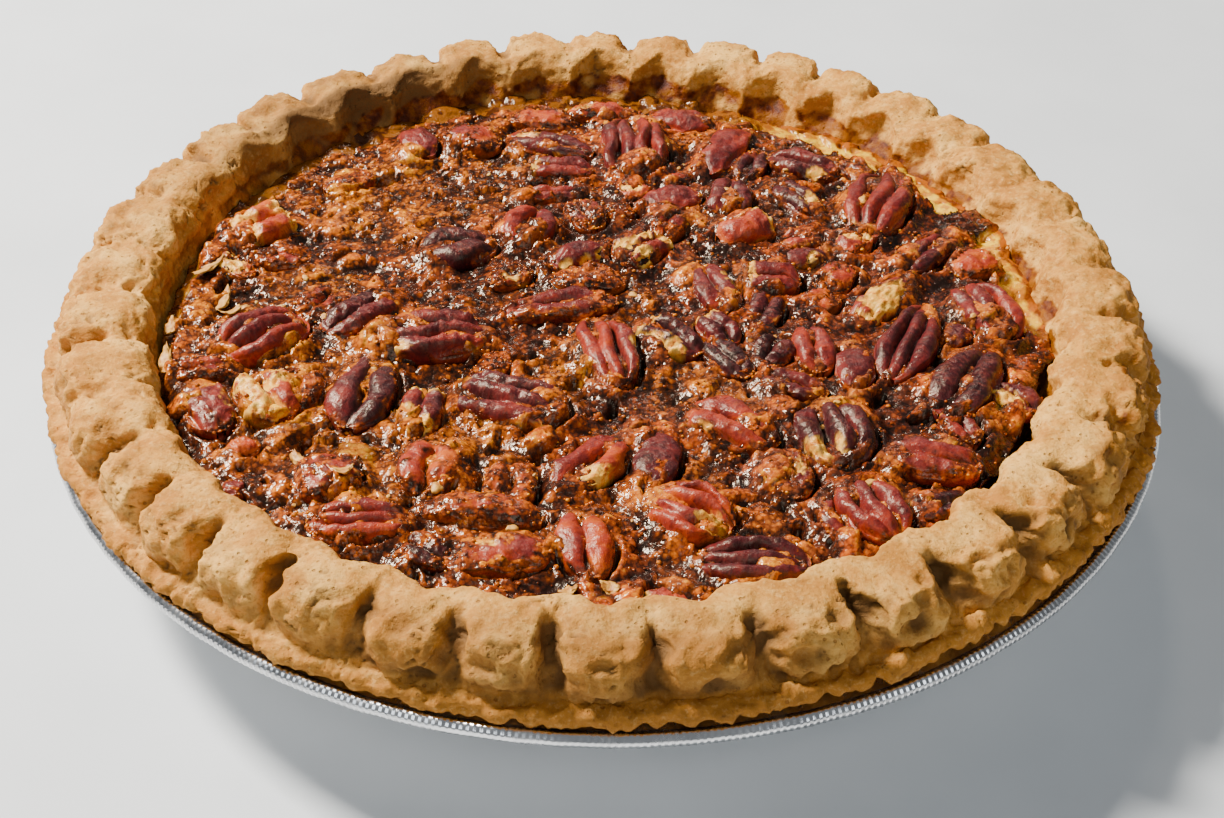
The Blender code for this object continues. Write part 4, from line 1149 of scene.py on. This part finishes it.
def make_crumbs(material, places):
    """Cream flakes and crumbs lying on the filling, mostly near its edge."""
    ball, corners = unit_ball(3)
    parts = []

    def lay(shape, x, y, heading, rise):
        level, _ = filling_surface(np.array([x]), np.array([y]), places)
        along, across = turned(shape[:, 0], shape[:, 1], heading)
        parts.append((stack(x + along, y + across, shape[:, 2] + level[0] + rise), [corners], {}))

    for i in range(CRUMBS):
        draw = draws(i, np.arange(8), 161)
        radius = (60 + 33 * draw[1]) if i % 3 else 88 * math.sqrt(draw[1])  # two of three lie in the outer ring
        size = (0.35 + 0.75 * draw[2] ** 2) * (1.4, 1.0, 0.55)[i % 3] * np.array([1.3, 0.9, 0.55])
        shape = ball * size * (1 + 0.35 * noise(ball + i * 5.0, 0.9, 162))[:, None]
        lay(shape, radius * math.cos(TURN * draw[0]), radius * math.sin(TURN * draw[0]), TURN * draw[3], 0.15)
    for i, (x, y, long, wide, heading) in enumerate(FLAKES):
        swell = 1 + 0.5 * noise(ball * 1.4 + i * 7.0, 0.8, 163) + 0.3 * noise(ball + i * 9.0, 0.35, 164)
        shape = ball * (long, wide, 0.45) * swell[:, None]
        shape[:, 2] += 0.9 * (shape[:, 0] / long) ** 2 - 0.4 * shape[:, 1] / wide
        lay(shape, x, y, math.radians(heading), 0.45)
    points, faces, masks = join(parts)
    make_piece("crumbs", points, faces, material, (), masks)


def make_beads(material, places, nuts):
    """Beads of syrup, each with its own glint, thick in patches of the froth and up the sides of the nuts."""
    ball, corners = unit_ball(1)
    draw = draws(np.arange(BEADS)[:, None], np.arange(4), 171)
    azimuth, radius = TURN * draw[:, 0], 95.5 * np.sqrt(draw[:, 1])
    x, y = radius * np.cos(azimuth), radius * np.sin(azimuth)
    height, masks = filling_surface(x, y, places)
    kept = (masks["custard"] < 0.3) & (masks["painted_shade"] < 0.4)
    kept &= noise(stack(x, y), 7, 172) + 0.5 * noise(stack(x, y), 2.5, 173) > draw[:, 2] - 0.5
    on_nuts = np.concatenate([points[masks["froth"] > 0.6] for points, _, masks in nuts])
    pick = draws(np.arange(len(on_nuts)), 0, 174)
    on_nuts, pick = on_nuts[pick < BEADS_ON_NUTS], pick[pick < BEADS_ON_NUTS]
    spots = np.concatenate([stack(x, y, height)[kept], on_nuts])
    sizes = np.concatenate([0.26 + 0.38 * draw[kept, 3] ** 2, 0.2 + 0.22 * pick / BEADS_ON_NUTS])
    count = np.arange(len(spots))
    points = (spots[:, None] + ball * (1.0, 1.0, 0.6) * sizes[:, None, None]).reshape(-1, 3)
    faces = (corners + (count * len(ball))[:, None, None]).reshape(-1, 3)
    tint = np.repeat(draws(count, 0, 175), len(ball))
    masks = {"raised": 0.35 + 0.5 * tint, "amber": 0.5 * tint}
    make_piece("syrup_beads", points, [faces], material, (), masks)


# ======== stage
LIGHTS = (  # name, place in metres, size, power and colour
    ("key", (-0.79, 0.42, 0.95), 0.25, 52.0, (1.0, 0.96, 0.9)),
    ("window", (0.12, 1.1, 0.86), 0.14, 1.7, (1.0, 0.94, 0.87)),
    ("fill", (0.2, -1.1, 0.9), 0.8, 4.8, (0.87, 0.94, 1.0)),
)
SKY = (0.9, 0.95, 1.0, 1.0)
SKY_STRENGTH = 0.22
CAMERA_PLACE = (0.0, -0.35559, 0.28578)  # metres and, below, radians: the view in the photo
CAMERA_TURN = (0.904517, -0.018276, 0.008765)
LENS, SENSOR = 57.9, 36.0


def make_stage():
    """Pale plain table, a fairly hard light from the left, a weaker one behind and soft light in front."""
    mat = Shader("pale_table")
    colour = mat.ramp(mat.noise(60.0), (0.3, 0.7, 0.72, 0.73), (0.7, 0.78, 0.8, 0.81))
    bpy.ops.mesh.primitive_plane_add(size=4.0, location=(0, 0, 0))
    floor = bpy.context.object
    floor.name = "table"
    floor.data.materials.append(mat.finish(colour=colour, rough=0.55))

    world = bpy.data.worlds.new("studio")
    world.use_nodes = True
    sky = world.node_tree.nodes["Background"].inputs
    sky["Color"].default_value, sky["Strength"].default_value = SKY, SKY_STRENGTH
    bpy.context.scene.world = world

    for name, place, size, power, colour in LIGHTS:
        data = bpy.data.lights.new(name, "AREA")
        data.size, data.energy, data.color = size, power, colour
        lamp = bpy.data.objects.new(name, data)
        lamp.location = place
        lamp.rotation_euler = (Vector((0, 0, 0.03)) - lamp.location).to_track_quat("-Z", "Y").to_euler()
        bpy.context.scene.collection.objects.link(lamp)

    data = bpy.data.cameras.new("camera")
    data.lens, data.sensor_width = LENS, SENSOR
    data.clip_start, data.clip_end = 0.01, 20.0
    camera = bpy.data.objects.new("camera", data)
    camera.location, camera.rotation_euler = CAMERA_PLACE, CAMERA_TURN
    bpy.context.scene.collection.objects.link(camera)
    bpy.context.scene.camera = camera


def main():
    nuts, bits = nut_places(), bit_places()
    places = [*nuts.values(), *bits.values()]
    make_crust(make_pastry_material())
    make_pan(make_foil_material())
    make_filling(places, make_filling_material())
    nuts, bits = ({number: nut_mesh(place) for number, place in group.items()} for group in (nuts, bits))
    make_pecans(nuts, bits, make_pecan_material())
    make_beads(make_bead_material(), places, [*nuts.values(), *bits.values()])
    make_crumbs(make_crumb_material(), places)
    make_stage()


main()
